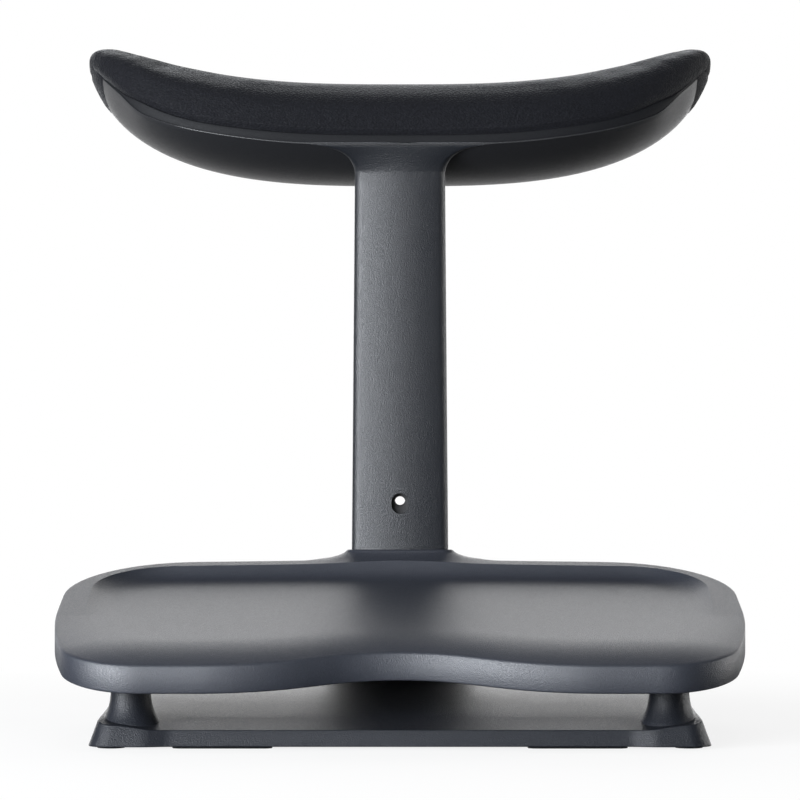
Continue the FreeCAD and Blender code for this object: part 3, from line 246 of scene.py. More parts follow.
BASE_BOTTOM = 1.5
CROWN_LEVEL = 34
CROWN_RADIUS = 800
CROWN_Y = 10
FRONT_LIFT = 1.3
FRONT_LIFT_Y = -120
FRONT_LIFT_RUN = 60
CORNER_LIFT = 4
CORNER_LIFT_X = 148
CORNER_LIFT_RUN = 44


def crown_level(y):
    """Level of the base's domed top."""
    return CROWN_LEVEL - (CROWN_RADIUS - math.sqrt(CROWN_RADIUS ** 2 - (y - CROWN_Y) ** 2))


def eased(share):
    """Smooth step from 0 to 1."""
    held = min(1, max(0, share))
    return held * held * (3 - 2 * held)


def base_top(x, y):
    """Level of the base's top, a little higher along its front edge and most at the corners."""
    near_front = eased((FRONT_LIFT_Y - y) / FRONT_LIFT_RUN)
    near_corner = eased((abs(x) - CORNER_LIFT_X) / CORNER_LIFT_RUN)
    return crown_level(y) + near_front * (FRONT_LIFT + CORNER_LIFT * near_corner)


base_slate = slate_finish("base_slate", (0.009, 0.01, 0.0135), (0.015, 0.017, 0.022),
                          shine=0.4, grain=0.0003, gloss=0.36)
base_half = [(151, -184.4, 30), (166, -188.4, 30), (203, -188.4, 14), (192, 190, 110)]
inset_half = [(150.8, -183.4, 30), (165.8, -187.4, 30), (202, -187.4, 13.5), (191, 189, 109)]
base_loop = rounded_loop(both_sides(base_half), arc_steps=10, edge_steps=20)
inset_loop = rounded_loop(both_sides(inset_half), arc_steps=10, edge_steps=20)


def tower_ring(half, squareness, rise=0, on_tray=False):
    """Rounded square round the column's middle line, its points in step with the base's outline."""
    ring = []
    for point in base_loop:
        ray = (point - Vector((0, COLUMN_Y))).normalized()
        reach = half / (abs(ray.x) ** squareness + abs(ray.y) ** squareness) ** (1 / squareness)
        y = COLUMN_Y + reach * ray.y
        ring.append((reach * ray.x, y, under_tray(y) - SEAT_GAP if on_tray else crown_level(y) + rise))
    return ring


FLANK_LEAN = math.tan(math.radians(20))
LIP_LEVEL = 5.7
TOP_SHELF = 8
TOP_FRONT = -172
TOP_ROWS = 9
FIRST_GUESS = 20.0
GUESSES = 8


def base_section(outer, inset, tower_foot):
    """Points from the lip inside the base's edge, round the edge and over the top to the tower's foot."""
    inward = inset - outer
    # The flank leans in as it rises, so the level where it meets the top is found by repeated guesses.
    level = FIRST_GUESS
    for guess in range(GUESSES):
        level = base_top(outer.x, outer.y + inward.y * (level - BASE_BOTTOM) * FLANK_LEAN)
    tall = level - BASE_BOTTOM
    run = tall * FLANK_LEAN
    profile = [(4, LIP_LEVEL), (2.5, BASE_BOTTOM), (0.5, BASE_BOTTOM), (0.1, level - (tall - 0.6)),
               (0.5 * run, level - 0.5 * tall), (run - 0.5, level - 1.3), (run - 0.1, level - 0.4),
               (run + 0.5, level - 0.06), (run + 1.6, level), (run + 3, level)]
    points = [(*(outer + inward * distance), z) for distance, z in profile]
    shelf = outer + inward * (run + TOP_SHELF)
    shelf.y = max(shelf.y, TOP_FRONT)
    for row in range(1, TOP_ROWS + 1):
        spot = shelf.lerp(Vector(tower_foot[:2]), row / TOP_ROWS)
        points.append((spot.x, spot.y, base_top(spot.x, spot.y)))
    return points


tower_foot_ring = tower_ring(half=68, squareness=4)
base_sections = [base_section(*spots) for spots in zip(base_loop, inset_loop, tower_foot_ring)]
base_rings = list(zip(*base_sections))
tower_flare = [(62, 4.4, 1.2), (57, 4.8, 3.8), (53.5, 5.3, 8), (51.2, 5.7, 15), (50.2, 6, 26), (50, 6, 40)]
tower_rings = [tower_ring(half, squareness, rise) for half, squareness, rise in tower_flare]
tower_top = tower_ring(half=50, squareness=6, on_tray=True)
bore_top = tower_ring(half=35.2, squareness=12, on_tray=True)
BORE_BOTTOM = 12.5
bore_bottom = [(x, y, BORE_BOTTOM) for x, y, z in bore_top]
dome = joined_rings(base_rings + tower_rings + [tower_top, bore_top, bore_bottom, base_rings[0]])

PILLAR_X = 176
PILLAR_Y = -158
pillar_profile = [(22.6, 9), (22.2, 11.5), (20.8, 14.5), (18.8, 17.2), (17, 20), (15.6, 23), (14.5, 26),
                  (13.7, 29.5), (13.2, 33.5), (12.9, 38), (12.7, 43), (12.6, 60)]


def pillar_skin(side):
    """Flared pillar in a front corner, cut off at the tray's underside."""
    rings = []
    for radius, level in pillar_profile:
        ring = []
        for angle in full_turn(72):
            y = PILLAR_Y + radius * math.sin(angle)
            ring.append((PILLAR_X * side + radius * math.cos(angle), y, min(level, under_tray(y) - SEAT_GAP)))
        rings.append(ring)
    return joined_rings(rings, closed=True)


base_cover = new_piece("base_cover_moulding", [dome, pillar_skin(-1), pillar_skin(1)], base_slate)
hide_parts("base_cover")
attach(base_cover, "stand")

# Foot tray: a tilted moulding in slate-grey plastic with an upright edge band, dished for two feet.
# The dish runs out over a front edge that rolls down to the band, and a collar rings the column.
# Screws through the base's pillars and tower hold it from below.
tray_slate = slate_finish("tray_slate", (0.013, 0.0155, 0.023), (0.021, 0.0245, 0.035),
                          shine=0.46, grain=0.0003, gloss=0.8)
EDGE_BAND = 18.0
KNEE_ROUNDING = 6
DISH_SLOPE = math.tan(math.radians(8.5))
DISH_REAR = 41.0
DISH_DEPTH = 9.5
DISH_FLOOR = under_tray(DISH_REAR) + EDGE_BAND - DISH_DEPTH
DISH_WALL = 26
DISH_WALL_CURVE = 3.2
ROLL_WIDTH = 46.0
COLLAR_RISE = 7.0
COLLAR_FLAT = 1.6
COLLAR_ROUND = 2.2
COLLAR_FOOT = 3.8
SKIRT_RISE = 5.4
SKIRT_FADE = 9.0
REAR_FALL = 0.045
REAR_FALL_START = 54
FRONT_BOW = 2.1
REAR_CORNER = 11


def column_loop(half, front, rear, radius, bow=FRONT_BOW):
    """Plan of the sliding column, its front face a little convex."""
    loop = []
    middle = (front + rear) / 2
    corners = [(half, front, radius), (half, rear, REAR_CORNER),
               (-half, rear, REAR_CORNER), (-half, front, radius)]
    for point in rounded_loop(corners, arc_steps=10, edge_steps=12):
        near = max(0, (middle - point.y) / (middle - front)) ** 6
        loop.append(point + Vector((0, bow * near * (2 * (point.x / half) ** 2 - 1))))
    return loop


tray_half = [(94, -217.5, 180), (212, -217.5, 54), (231, -125, 400),
             (227, 40, 92), (55, 50, 15), (55, 141, 30)]
tray_loop = rounded_loop([(0, -178, 112)] + both_sides(tray_half), arc_steps=14, edge_steps=10)
passage_loop = column_loop(half=34.6, front=56.4, rear=122.6, radius=6.1)
dish_corners = [(211, -150, 20), (211, 29, 60), (0, 41, 400), (-211, 29, 60), (-211, -150, 20)]
dish_loop = rounded_loop(dish_corners, arc_steps=14, edge_steps=40)


def signed_distance(points, loop):
    """Distance of points to a closed loop, positive inside."""
    start = numpy.array([tuple(point) for point in loop])
    step = numpy.roll(start, -1, axis=0) - start
    length = (step ** 2).sum(axis=1)
    keep = length > 1e-9
    start, step, length = start[keep], step[keep], length[keep]
    offset = points[:, None, :] - start[None, :, :]
    share = numpy.clip((offset * step[None]).sum(axis=2) / length[None], 0, 1)
    away = numpy.sqrt(((offset - share[..., None] * step[None]) ** 2).sum(axis=2)).min(axis=1)
    low = start[None, :, 1] <= points[:, None, 1]
    high = (start + step)[None, :, 1] <= points[:, None, 1]
    cross = step[None, :, 0] * offset[..., 1] - step[None, :, 1] * offset[..., 0]
    winding = (low & ~high & (cross > 0)).sum(axis=1) - (~low & high & (cross < 0)).sum(axis=1)
    return numpy.where(winding != 0, away, -away)


def tray_top(points):
    """Level of the tray's top at points in plan."""
    y = points[:, 1]
    from_edge = signed_distance(points, tray_loop)
    in_dish = signed_distance(points, dish_loop)
    from_collar = -signed_distance(points, passage_loop)
    knee = 0.5 * (y + TRAY_KNEE - numpy.sqrt((y - TRAY_KNEE) ** 2 + KNEE_ROUNDING ** 2))
    rim = TRAY_BOTTOM + EDGE_BAND + (knee - TRAY_FRONT) * TRAY_SLOPE
    floor = DISH_FLOOR - (DISH_REAR - y) * DISH_SLOPE
    wall = 1 - (1 - numpy.clip(in_dish / DISH_WALL, 0, 1)) ** DISH_WALL_CURVE
    gap = floor - rim
    roll = (1 - numpy.clip(from_edge / ROLL_WIDTH, 0, 1)) ** 2
    level = numpy.where(gap > 0, rim + gap * (1 - roll), rim + gap * wall)
    land = numpy.clip((from_collar - COLLAR_FLAT) / COLLAR_ROUND, 0, 1)
    lip = COLLAR_RISE - (COLLAR_RISE - SKIRT_RISE) * land ** 2
    skirt = SKIRT_RISE * numpy.exp(-(from_collar - COLLAR_FOOT) / SKIRT_FADE)
    collar = numpy.where(from_collar > COLLAR_FOOT, skirt, lip)
    return level + collar - REAR_FALL * numpy.clip(y - REAR_FALL_START, 0, None)


def with_level(loop, lift):
    """Plan points raised to the tray's top."""
    spots = numpy.array([tuple(point) for point in loop])
    return [(x, y, z + lift) for (x, y), z in zip(spots, tray_top(spots))]


def inward_normals(loop):
    """Unit normals of a loop, pointing inwards."""
    normals = []
    for index, point in enumerate(loop):
        along = loop[(index + 1) % len(loop)] - loop[index - 1]
        normals.append(Vector((-along.y, along.x)).normalized())
    return normals


tray_inward = inward_normals(tray_loop)
tray_edge = with_level(tray_loop, 0)


def tray_inset(distance):
    """The tray's outline drawn in."""
    return [point + normal * distance for point, normal in zip(tray_loop, tray_inward)]


def band_ring(inset, height):
    """Ring on the edge band, at a height above its bottom, or below its top where that is negative."""
    ring = []
    for spot, edge in zip(tray_inset(inset), tray_edge):
        level = edge[2] if height < 0 else under_tray(edge[1])
        ring.append((spot.x, spot.y, level + height))
    return ring


SKIN_LIFT = -0.02
PANEL_SEAT = 3.2
edge_profile = [(4, PANEL_SEAT), (4, 0), (1.6, 0), (0.5, 0.4), (0, 1.5), (0, -1.1), (0.3, -0.3)]
edge_rings = [band_ring(inset, height) for inset, height in edge_profile]
top_outline = tray_inset(1.0)
edge_skin = joined_rings(edge_rings + [with_level(top_outline, SKIN_LIFT)])


def ring_links(count, first):
    """Edges that join a run of points to a closed ring."""
    return [(first + index, first + (index + 1) % count) for index in range(count)]


outline_links = ring_links(len(tray_loop), 0) + ring_links(len(passage_loop), len(tray_loop))
DISH_OPENING = -118
DISH_ROWS = (0, -0.5, 0.5, -1.5, 1.2, 2, 3, 4.4, 6, 8, 10.5, 13.5, 17, 21, 26)
COLLAR_ROWS = (0.8, 1.6, 2.4, 3.2, 4, 5.2, 7, 9.5, 13, 18, 24)
EDGE_ROWS = (2.2, 4, 6.5, 9.5, 13, 17, 22, 28, 35)
GRID_PITCH = 5.0
DISH_ROOM = 3
COLLAR_ROOM = 2
GRID_ROOM = 36
EDGE_ROOM = 1.8
PASSAGE_ROOM = 0.7
ROW_GAP = 0.3
SPOT_GAP = 1.9
CELL = 2


def wanted_spots():
    """Spots for the top, each with its room from the edge and, in the dish's wall, its row and step."""
    wanted = []
    dish_inward = inward_normals(dish_loop)
    for row, distance in enumerate(DISH_ROWS):
        for step, (point, normal) in enumerate(zip(dish_loop, dish_inward)):
            if point.y > DISH_OPENING:
                wanted.append((point + normal * distance, DISH_ROOM, (row, step)))
    passage_inward = inward_normals(passage_loop)
    for distance in COLLAR_ROWS:
        for point, normal in zip(passage_loop, passage_inward):
            wanted.append((point - normal * distance, COLLAR_ROOM, None))
    for distance in EDGE_ROWS:
        wanted += [(spot, distance, None) for spot in tray_inset(distance)]
    for column in range(-45, 46):
        for row in range(-43, 12):
            wanted.append((Vector((column * GRID_PITCH, row * GRID_PITCH)), GRID_ROOM, None))
    return wanted


def top_plan():
    """Plan points of the top, well apart, and the edges that its outline, passage and dish follow."""
    plan = [tuple(point) for point in top_outline + passage_loop]
    wanted = wanted_spots()
    spots = numpy.array([tuple(spot) for spot, room, key in wanted])
    rooms = numpy.array([room for spot, room, key in wanted])
    edge_room = signed_distance(spots, tray_loop)
    hole_room = -signed_distance(spots, passage_loop)
    inside = (edge_room > numpy.maximum(EDGE_ROOM, 0.93 * rooms)) & (hole_room > PASSAGE_ROOM)
    taken = {}
    dish_spots = {}
    for (x, y), (spot, room, key), keep in zip(spots, wanted, inside):
        cell_x = round(x / CELL)
        cell_y = round(y / CELL)
        near = []
        for column in (-1, 0, 1):
            for row in (-1, 0, 1):
                near += taken.get((cell_x + column, cell_y + row), [])
        if keep and all(math.hypot(x - near_x, y - near_y) > (ROW_GAP if near_room == room else SPOT_GAP)
                        for near_x, near_y, near_room in near):
            taken.setdefault((cell_x, cell_y), []).append((x, y, room))
            if key:
                dish_spots[key] = len(plan)
            plan.append((float(x), float(y)))
    dish_links = [(index, dish_spots[row, step + 1]) for (row, step), index in dish_spots.items()
                  if (row, step + 1) in dish_spots]
    return plan, outline_links + dish_links


def filled_plan(plan, links):
    """Points and triangles that fill a plan between the tray's outline and the column's passage."""
    flat, edges, triangles, *origins = delaunay_2d_cdt([Vector(spot) for spot in plan], links, [], 1, 1e-5)
    spots = numpy.array([tuple(spot) for spot in flat])
    centres = numpy.array([spots[list(triangle)].mean(axis=0) for triangle in triangles])
    outside_passage = signed_distance(centres, passage_loop) < 0
    return spots, [tuple(triangle) for triangle, keep in zip(triangles, outside_passage) if keep]


top_spots, top_faces = filled_plan(*top_plan())
top_skin = (with_level(top_spots, SKIN_LIFT), top_faces)
passage_top = with_level(passage_loop, SKIN_LIFT)
passage_bottom = [(x, y, under_tray(y) + PANEL_SEAT) for x, y, z in passage_top]
passage_skin = joined_rings([passage_top, passage_bottom])
bottom_plan = [(x, y) for x, y, z in edge_rings[0] + passage_bottom]
bottom_plan += [(6.0 * step, TRAY_KNEE) for step in range(-8, 9)]
bottom_spots, bottom_faces = filled_plan(bottom_plan, outline_links)
bottom_skin = ([(x, y, under_tray(y) + PANEL_SEAT) for x, y in bottom_spots], bottom_faces)
tray_skins = [edge_skin, top_skin, passage_skin, bottom_skin]
foot_tray = new_piece("foot_tray_moulding", tray_skins, tray_slate, crease=28)
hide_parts("foot_tray")
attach(foot_tray, "stand")

# Panel under the tray: a plain dark moulding that closes the tray from below.
# It lies against the tray's ribs, held by the same screws, and only its edge shows.
panel = grained_finish("panel_plastic", (0.03, 0.031, 0.034), 0.55,
                       tones=((0.026, 0.027, 0.03), (0.036, 0.037, 0.041)), tone_noise=(500, 2),
                       polish=(0.5, 0.62), polish_noise=(700, 2),
                       grain_noise=(1500, 2), grain_depth=0.00012)
finish_nodes(panel, "tray_bottom_panel")

# Column: a square slate-grey moulding that slides on the guide post, with a flared head.
# A slot in its front wall shows the post's cross hole, and light comes right through it.
column_slate = slate_finish("column_slate", (0.006, 0.007, 0.0095), (0.011, 0.0125, 0.016),
                            shine=0.34, grain=0.0003)
SHAFT_HALF = 34
SHAFT_TAPER = 2.1
TAPER_FOOT = 120.5
FRONT_SETBACK = 3
FRONT_CORNER = 5.5
FLARE_FOOT = 386.0
NECK_HALF = 31.9
HEAD_FRONT = 51.0
HEAD_LEAN_RISE = 19
HEAD_LEAN_CURVE = 1.2
HEAD_CORNER_LOSS = 3.5
HEAD_SPREAD = 45.5
HEAD_REAR_REACH = 30
CAVITY_HALF = 27
CAVITY_CORNER = 8
CAVITY_LEVELS = (19, 362)
PIN_LEVEL = 154.62
COLUMN_CREASE = 30
shaft_levels = (20, 70, 120.5, 150, 190, 230, 270, 310, 350, 372, 386)
head_profile = [(32.1, 388), (32.6, 390.5), (33.5, 392.8), (34.8, 395), (36.4, 397), (38.5, 398.8),
                (41.5, 400.6), (45, 402.1), (49.5, 403.5), (54.5, 404.5), (60, 405.4), (66, 406.1),
                (72, 406.7), (77.4, 407.2)]


def shaft_ring(level):
    """Section of the slightly tapered shaft."""
    share = max(0, (level - TAPER_FOOT) / (FLARE_FOOT - TAPER_FOOT))
    half = SHAFT_HALF - SHAFT_TAPER * share
    loop = column_loop(half, COLUMN_Y + FRONT_SETBACK - half, COLUMN_Y + half, FRONT_CORNER)
    return [(*point, level) for point in loop]


def head_ring(half, level):
    """Section of the flared head, whose front leans out and loses its bow."""
    lean = min(1, (level - FLARE_FOOT) / HEAD_LEAN_RISE) ** HEAD_LEAN_CURVE
    neck_front = COLUMN_Y + FRONT_SETBACK - NECK_HALF
    front = neck_front + (HEAD_FRONT - neck_front) * lean
    rear = COLUMN_Y + NECK_HALF + HEAD_REAR_REACH * ((half - NECK_HALF) / HEAD_SPREAD)
    loop = column_loop(half, front, rear, FRONT_CORNER - HEAD_CORNER_LOSS * lean, FRONT_BOW * (1 - lean))
    return [(*point, level) for point in loop]


column_rings = [shaft_ring(level) for level in shaft_levels]
column_rings += [head_ring(half, level) for half, level in head_profile]
column = new_piece("column_moulding", [joined_rings(column_rings, closed=True)], column_slate, COLUMN_CREASE)


def square_loop(half, radius, z):
    """Rounded square round the column's middle line."""
    front = COLUMN_Y - half
    rear = COLUMN_Y + half
    corners = [(half, front, radius), (half, rear, radius), (-half, rear, radius), (-half, front, radius)]
    return [(point.x, point.y, z) for point in rounded_loop(corners, arc_steps=10, edge_steps=12)]


def cross_tube(radius, drop, near, far):
    """Round hole from front to back at the lock pin's level, or a slot that reaches further down."""
    rings = []
    for y in (near, far):
        ring = []
        for angle in full_turn(40):
            z = radius * math.sin(angle)
            ring.append((radius * math.cos(angle), y, PIN_LEVEL + z - (drop if z < 0 else 0)))
        rings.append(ring)
    return joined_rings(rings, closed=True)


def finished_mesh(piece):
    """Plain mesh of a piece with its modifiers applied."""
    return bpy.data.meshes.new_from_object(piece.evaluated_get(bpy.context.evaluated_depsgraph_get()))


def cut_away(piece, name, skin):
    """Take a closed skin out of a piece."""
    cutter = new_piece(name, [skin], piece.data.materials[0])
    trim = piece.modifiers.new(name, "BOOLEAN")
    trim.operation = "DIFFERENCE"
    trim.solver = "EXACT"
    trim.object = cutter
    cut_mesh = finished_mesh(piece)
    piece.modifiers.remove(trim)
    piece.data = cut_mesh
    bpy.data.objects.remove(cutter)


cavity_rings = [square_loop(CAVITY_HALF, CAVITY_CORNER, level) for level in CAVITY_LEVELS]
cut_away(column, "column_cavity", joined_rings(cavity_rings, closed=True))
cut_away(column, "column_slot", cross_tube(radius=6, drop=2.5, near=50, far=66))
cut_away(column, "column_rear_hole", cross_tube(radius=5, drop=0, near=110, far=126))
column.data.shade_smooth()
column.data.set_sharp_from_angle(angle=math.radians(COLUMN_CREASE))
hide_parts("column")
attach(column, "leg_rest")

# Pad shell: a curved dark moulding under the cushion, its rim drawn up to the cover at the tips.
# It is bolted to the column's head through a steel bracket, and the cushion board is screwed to it.
shell_slate = slate_finish("shell_slate", (0.012, 0.0125, 0.014), (0.018, 0.0185, 0.021),
                           shine=0.38, grain=0.00012)
PAD_HALF = 223.5
PAD_Y = 132.5
PAD_REACH = 82.0
SHELL_HALF = 219.5
RIM_HALF = 235.0
RIM_LEVEL = 405.5
RIM_CURL = 97
RIM_DIP = 13
BAND_RISE = 28
BELLY_LEVEL = 380.5
BELLY_CURL = 86
END_START = 105
END_RUN = 114
TIP_START = 180
TIP_RUN = 22
rim_profile = [(5, 5.2), (4, 5.1), (2.6, 5), (2.3, 4.7), (2.2, 1.6), (2, 1.1), (1.4, 0.9), (0.5, 0.75),
               (0.15, 0.5), (0, 0.1), (0.1, -0.3)]


def curl(x, half):
    """Upward curl towards the ends."""
    return 1 - math.sqrt(max(0, 1 - min(1, abs(x) / half) ** 3))


def end_share(x):
    """0 along the middle, rising to 1 at the shell's end."""
    return min(1, max(0, (abs(x) - END_START) / END_RUN))


def tip_share(x):
    """0 along the shell, 1 at its tips, where the rim rises to the cover and the band gets thin."""
    return eased((abs(x) - TIP_START) / TIP_RUN)


def band_rise(x):
    """How much taller the band above the rim stands near the ends."""
    return BAND_RISE * end_share(x) ** 4 * math.sqrt(1 - end_share(x))


def rim_level(x):
    """Level of the shell's rim, which hangs a little below its main curve near the ends."""
    dip = RIM_DIP * end_share(x) ** 2 * math.sqrt(1 - end_share(x))
    return RIM_LEVEL + RIM_CURL * curl(x, RIM_HALF) - dip + band_rise(x) * tip_share(x)


def half_depth(x, half):
    """Half of the pad's depth at a place across it."""
    return PAD_REACH * math.sqrt(max(0, 1 - min(1, abs(x) / half) ** 4))


def stations(half, steps):
    """Places across the pad, closer together towards its ends."""
    return [half * math.sin(math.pi / 2 * step / steps) for step in range(-steps, steps + 1)]


def shell_ring(x):
    """Section of the shell, from front to back."""
    reach = half_depth(x, SHELL_HALF)
    rim = rim_level(x)
    belly = BELLY_LEVEL + BELLY_CURL * curl(x, SHELL_HALF)
    sag = max(0.5, rim - belly)
    radius = (reach ** 2 + sag ** 2) / (2 * sag)
    tall = 1 - curl(x, RIM_HALF)
    step_in = min(1, reach / 12)
    edge = [(-reach + across * step_in, rim + up * tall) for across, up in rim_profile]
    arc = []
    for step in range(1, 28):
        y = (reach - 0.5 * step_in) * (step / 14 - 1)
        arc.append((y, belly + radius - math.sqrt(radius ** 2 - y ** 2)))
    section = edge + arc + [(-y, z) for y, z in reversed(edge)]
    return [(x, PAD_Y + y, z) for y, z in section]


shell_rings = [shell_ring(x) for x in stations(0.9975 * SHELL_HALF, 40)]
pad_shell = new_piece("pad_shell_moulding", [joined_rings(shell_rings, closed=True)], shell_slate, crease=40)
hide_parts("pad_shell")
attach(pad_shell, "leg_rest")

# Band above the shell's rim: the shell's upright upper edge, in the same plastic with a matte surface.
# It stands just inside the rim, and the cushion's cover is tucked in behind its top.
band_slate = slate_finish("band_slate", (0.006, 0.0064, 0.0075), (0.009, 0.0094, 0.011),
                          shine=0.58, grain=0.00012, gloss=0.13)
BAND_GAP = 0.7
BAND_TALL = 6.5
BAND_LOSS_AT_TIP = 0.65
BAND_END_GAP = 0.2
BAND_SIDE_GAP = 0.5
band_profile = [(5, 0), (0.5, 0), (0.12, 0.02), (0, 0.08), (0, 0.86), (0.15, 0.93), (0.6, 0.98), (1.6, 1),
                (5, 1), (5, 0)]


def band_level(x):
    """Top of the band."""
    tall = BAND_TALL * (1 - curl(x, RIM_HALF)) * (1 - BAND_LOSS_AT_TIP * tip_share(x))
    return rim_level(x) + BAND_GAP + tall + band_rise(x) * (1 - tip_share(x))


def shell_band_ring(inset, share):
    """Ring round the band at a share of its height."""
    half = SHELL_HALF - BAND_END_GAP - inset
    front = []
    for x in stations(half, 60):
        foot = rim_level(x) + BAND_GAP * (1 - curl(x, RIM_HALF))
        reach = half_depth(x, half) * (1 - (inset + BAND_SIDE_GAP) / PAD_REACH)
        front.append((x, reach, foot + share * (band_level(x) - foot)))
    rear = reversed(front[1:-1])
    return [(x, PAD_Y - reach, z) for x, reach, z in front] + [(x, PAD_Y + reach, z) for x, reach, z in rear]


shell_band_rings = [shell_band_ring(inset, share) for inset, share in band_profile]
shell_band = new_piece("pad_shell_band", [joined_rings(shell_band_rings)], band_slate, crease=50)
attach(shell_band, "leg_rest")

# Cushion board and its inserts: moulded plywood with brass rings, closed in between shell and cushion.
# The rings are pressed into the board, and screws from below draw it down onto the shell.
plywood = grained_finish("board_plywood", (0.45, 0.3, 0.16), 0.65,
                         tones=((0.4, 0.26, 0.13), (0.55, 0.38, 0.21)), tone_noise=(60, 4, (1, 12, 4)),
                         polish=(0.58, 0.72), polish_noise=(200, 2),
                         grain_noise=(300, 3, (1, 10, 4)), grain_depth=0.0002)
finish_nodes(plywood, "cushion_board")
brass = grained_finish("insert_brass", (0.7, 0.5, 0.2), 0.3, metallic=1.0,
                       tones=((0.62, 0.43, 0.16), (0.76, 0.56, 0.26)), tone_noise=(300, 2),
                       polish=(0.25, 0.4), polish_noise=(600, 2))
finish_nodes(brass, "board_inserts")

# Leg cushion: foam under a tight near-black woven cover, drawn in by a groove where it meets the band.
# The cover is swollen by a short cloth simulation with its lower edge held, then the groove is pressed in.
cloth = grained_finish("cover_fabric", (0.004, 0.004, 0.006), 0.75, gloss=0.13,
                       tones=((0.002, 0.0022, 0.0036), (0.006, 0.0064, 0.009)), tone_noise=(700, 3),
                       polish=(0.62, 0.8), polish_noise=(500, 2))
cloth_tree = cloth.node_tree
cloth_shader = cloth_tree.nodes["Principled BSDF"]
cloth_shader.inputs["Sheen Weight"].default_value = 0.17
cloth_shader.inputs["Sheen Roughness"].default_value = 0.4
weave_place = cloth_tree.nodes.new("ShaderNodeTexCoord")
weave_stretch = cloth_tree.nodes.new("ShaderNodeMapping")
weave_stretch.inputs["Scale"].default_value = (0.75, 1.0, 1.25)
weave = cloth_tree.nodes.new("ShaderNodeTexVoronoi")
weave.inputs["Scale"].default_value = 850
cloth_tree.links.new(weave_place.outputs["Object"], weave_stretch.inputs["Vector"])
cloth_tree.links.new(weave_stretch.outputs["Vector"], weave.inputs["Vector"])
add_relief(cloth_tree, cloth_shader, weave.outputs["Distance"], 0.0004)
SKIN_GAP = 1.0
CREST_LEVEL = 410.8
CREST_CURL = 90.5
CUSHION_RISE = 40.5
TUCK_DEPTH = 1.9
TUCK_GAP = 2
TIP_LIFT = 2.2
BAND_WALL = 2.5
HIDDEN_EDGE = 4.4
HELD_HEIGHT = 3
side_profile = [(1.005, 0.08), (1.03, 0.3), (1.01, 0.6), (0.93, 0.8), (0.78, 0.92), (0.5, 0.98)]


def cushion_ring(x):
    """Section of the cushion, slightly smaller than the finished cover."""
    half = PAD_HALF - SKIN_GAP
    reach = half_depth(x, half) * (1 - SKIN_GAP / PAD_REACH)
    low = band_level(x) - TUCK_DEPTH + TIP_LIFT * tip_share(x)
    crest = CREST_LEVEL + CREST_CURL * curl(x, RIM_HALF) + CUSHION_RISE - SKIN_GAP
    tall = (crest - low) * math.sqrt(max(0, 1 - min(1, abs(x) / half) ** 8))
    behind_band = min(0.975 * reach, half_depth(x, SHELL_HALF - BAND_WALL) - TUCK_GAP)
    tucked = max(0.6 * reach, behind_band)
    front = [(-tucked, low - HIDDEN_EDGE), (-tucked, low)]
    front += [(-share * reach, low + height * tall) for share, height in side_profile]
    section = front + [(0, low + tall)] + [(-y, z) for y, z in reversed(front)]
    return [(x, PAD_Y + y, z) for y, z in section]


cushion_rings = [cushion_ring(x) for x in stations(0.995 * (PAD_HALF - SKIN_GAP), 30)]
cushion = new_piece("cushion_sewn", [joined_rings(cushion_rings, closed=True)], cloth, crease=180)


def swell(piece, voxel, pressure, frames, most):
    """Remesh a closed form, inflate it as cloth held at its underside, and cap how far it moves."""
    remesh = piece.modifiers.new("even", "REMESH")
    remesh.mode = "VOXEL"
    remesh.voxel_size = voxel
    mesh = finished_mesh(piece)
    piece.modifiers.remove(remesh)
    piece.data = mesh
    start = [vertex.co.copy() for vertex in mesh.vertices]
    held = piece.vertex_groups.new(name="held")
    for vertex in mesh.vertices:
        if vertex.co.z * 1000 < band_level(vertex.co.x * 1000) + HELD_HEIGHT:
            held.add([vertex.index], 1.0, "REPLACE")
    soft = piece.modifiers.new("cloth", "CLOTH")
    soft.settings.vertex_group_mass = "held"
    soft.settings.use_pressure = True
    soft.settings.uniform_pressure_force = pressure
    soft.settings.effector_weights.gravity = 0
    soft.settings.quality = 5
    soft.point_cache.frame_start = 1
    soft.point_cache.frame_end = frames
    for step in range(1, frames + 1):
        scene.frame_set(step)
    result = finished_mesh(piece)
    piece.modifiers.remove(soft)
    scene.frame_set(1)
    for vertex, before in zip(result.vertices, start):
        move = vertex.co - before
        if move.length > most:
            vertex.co = before + move * (most / move.length)
    piece.data = result
    piece.vertex_groups.clear()


GROOVE_DEPTH = 0.0016
GROOVE_LEVEL = 0.2
GROOVE_WIDTH = 2.2
GROOVE_FROM_MIDDLE = 0.02
END_STRETCH = 0.012
CREST_DROP = 0.0008
CREST_FOOT = 6


def press_groove(mesh):
    """Press the groove in just above the band, pull the ends out a little and lower the crest's middle."""
    for vertex in mesh.vertices:
        rise = vertex.co.z * 1000 - band_level(vertex.co.x * 1000)
        pressed = math.exp(-((rise - GROOVE_LEVEL) / GROOVE_WIDTH) ** 2)
        inward = Vector((vertex.co.x, PAD_Y / 1000, vertex.co.z)) - vertex.co
        if inward.length > GROOVE_FROM_MIDDLE:
            vertex.co += inward.normalized() * (GROOVE_DEPTH * pressed)
        outward = min(1, abs(vertex.co.x) * 1000 / PAD_HALF)
        vertex.co.x *= 1 + END_STRETCH * outward ** 8
        if rise > CREST_FOOT:
            vertex.co.z += CREST_DROP * outward ** 4 - CREST_DROP


swell(cushion, voxel=0.004, pressure=4.0, frames=20, most=0.0025)
even_out = cushion.modifiers.new("even_out", "SMOOTH")
even_out.factor = 0.5
even_out.iterations = 3
fine = cushion.modifiers.new("fine", "SUBSURF")
fine.levels = 1
fine.render_levels = 1
cushion_mesh = finished_mesh(cushion)
cushion.modifiers.clear()
cushion.data = cushion_mesh
press_groove(cushion_mesh)
cushion_mesh.shade_smooth()
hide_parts("cushion_cover", "cushion_foam")
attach(cushion, "leg_rest")

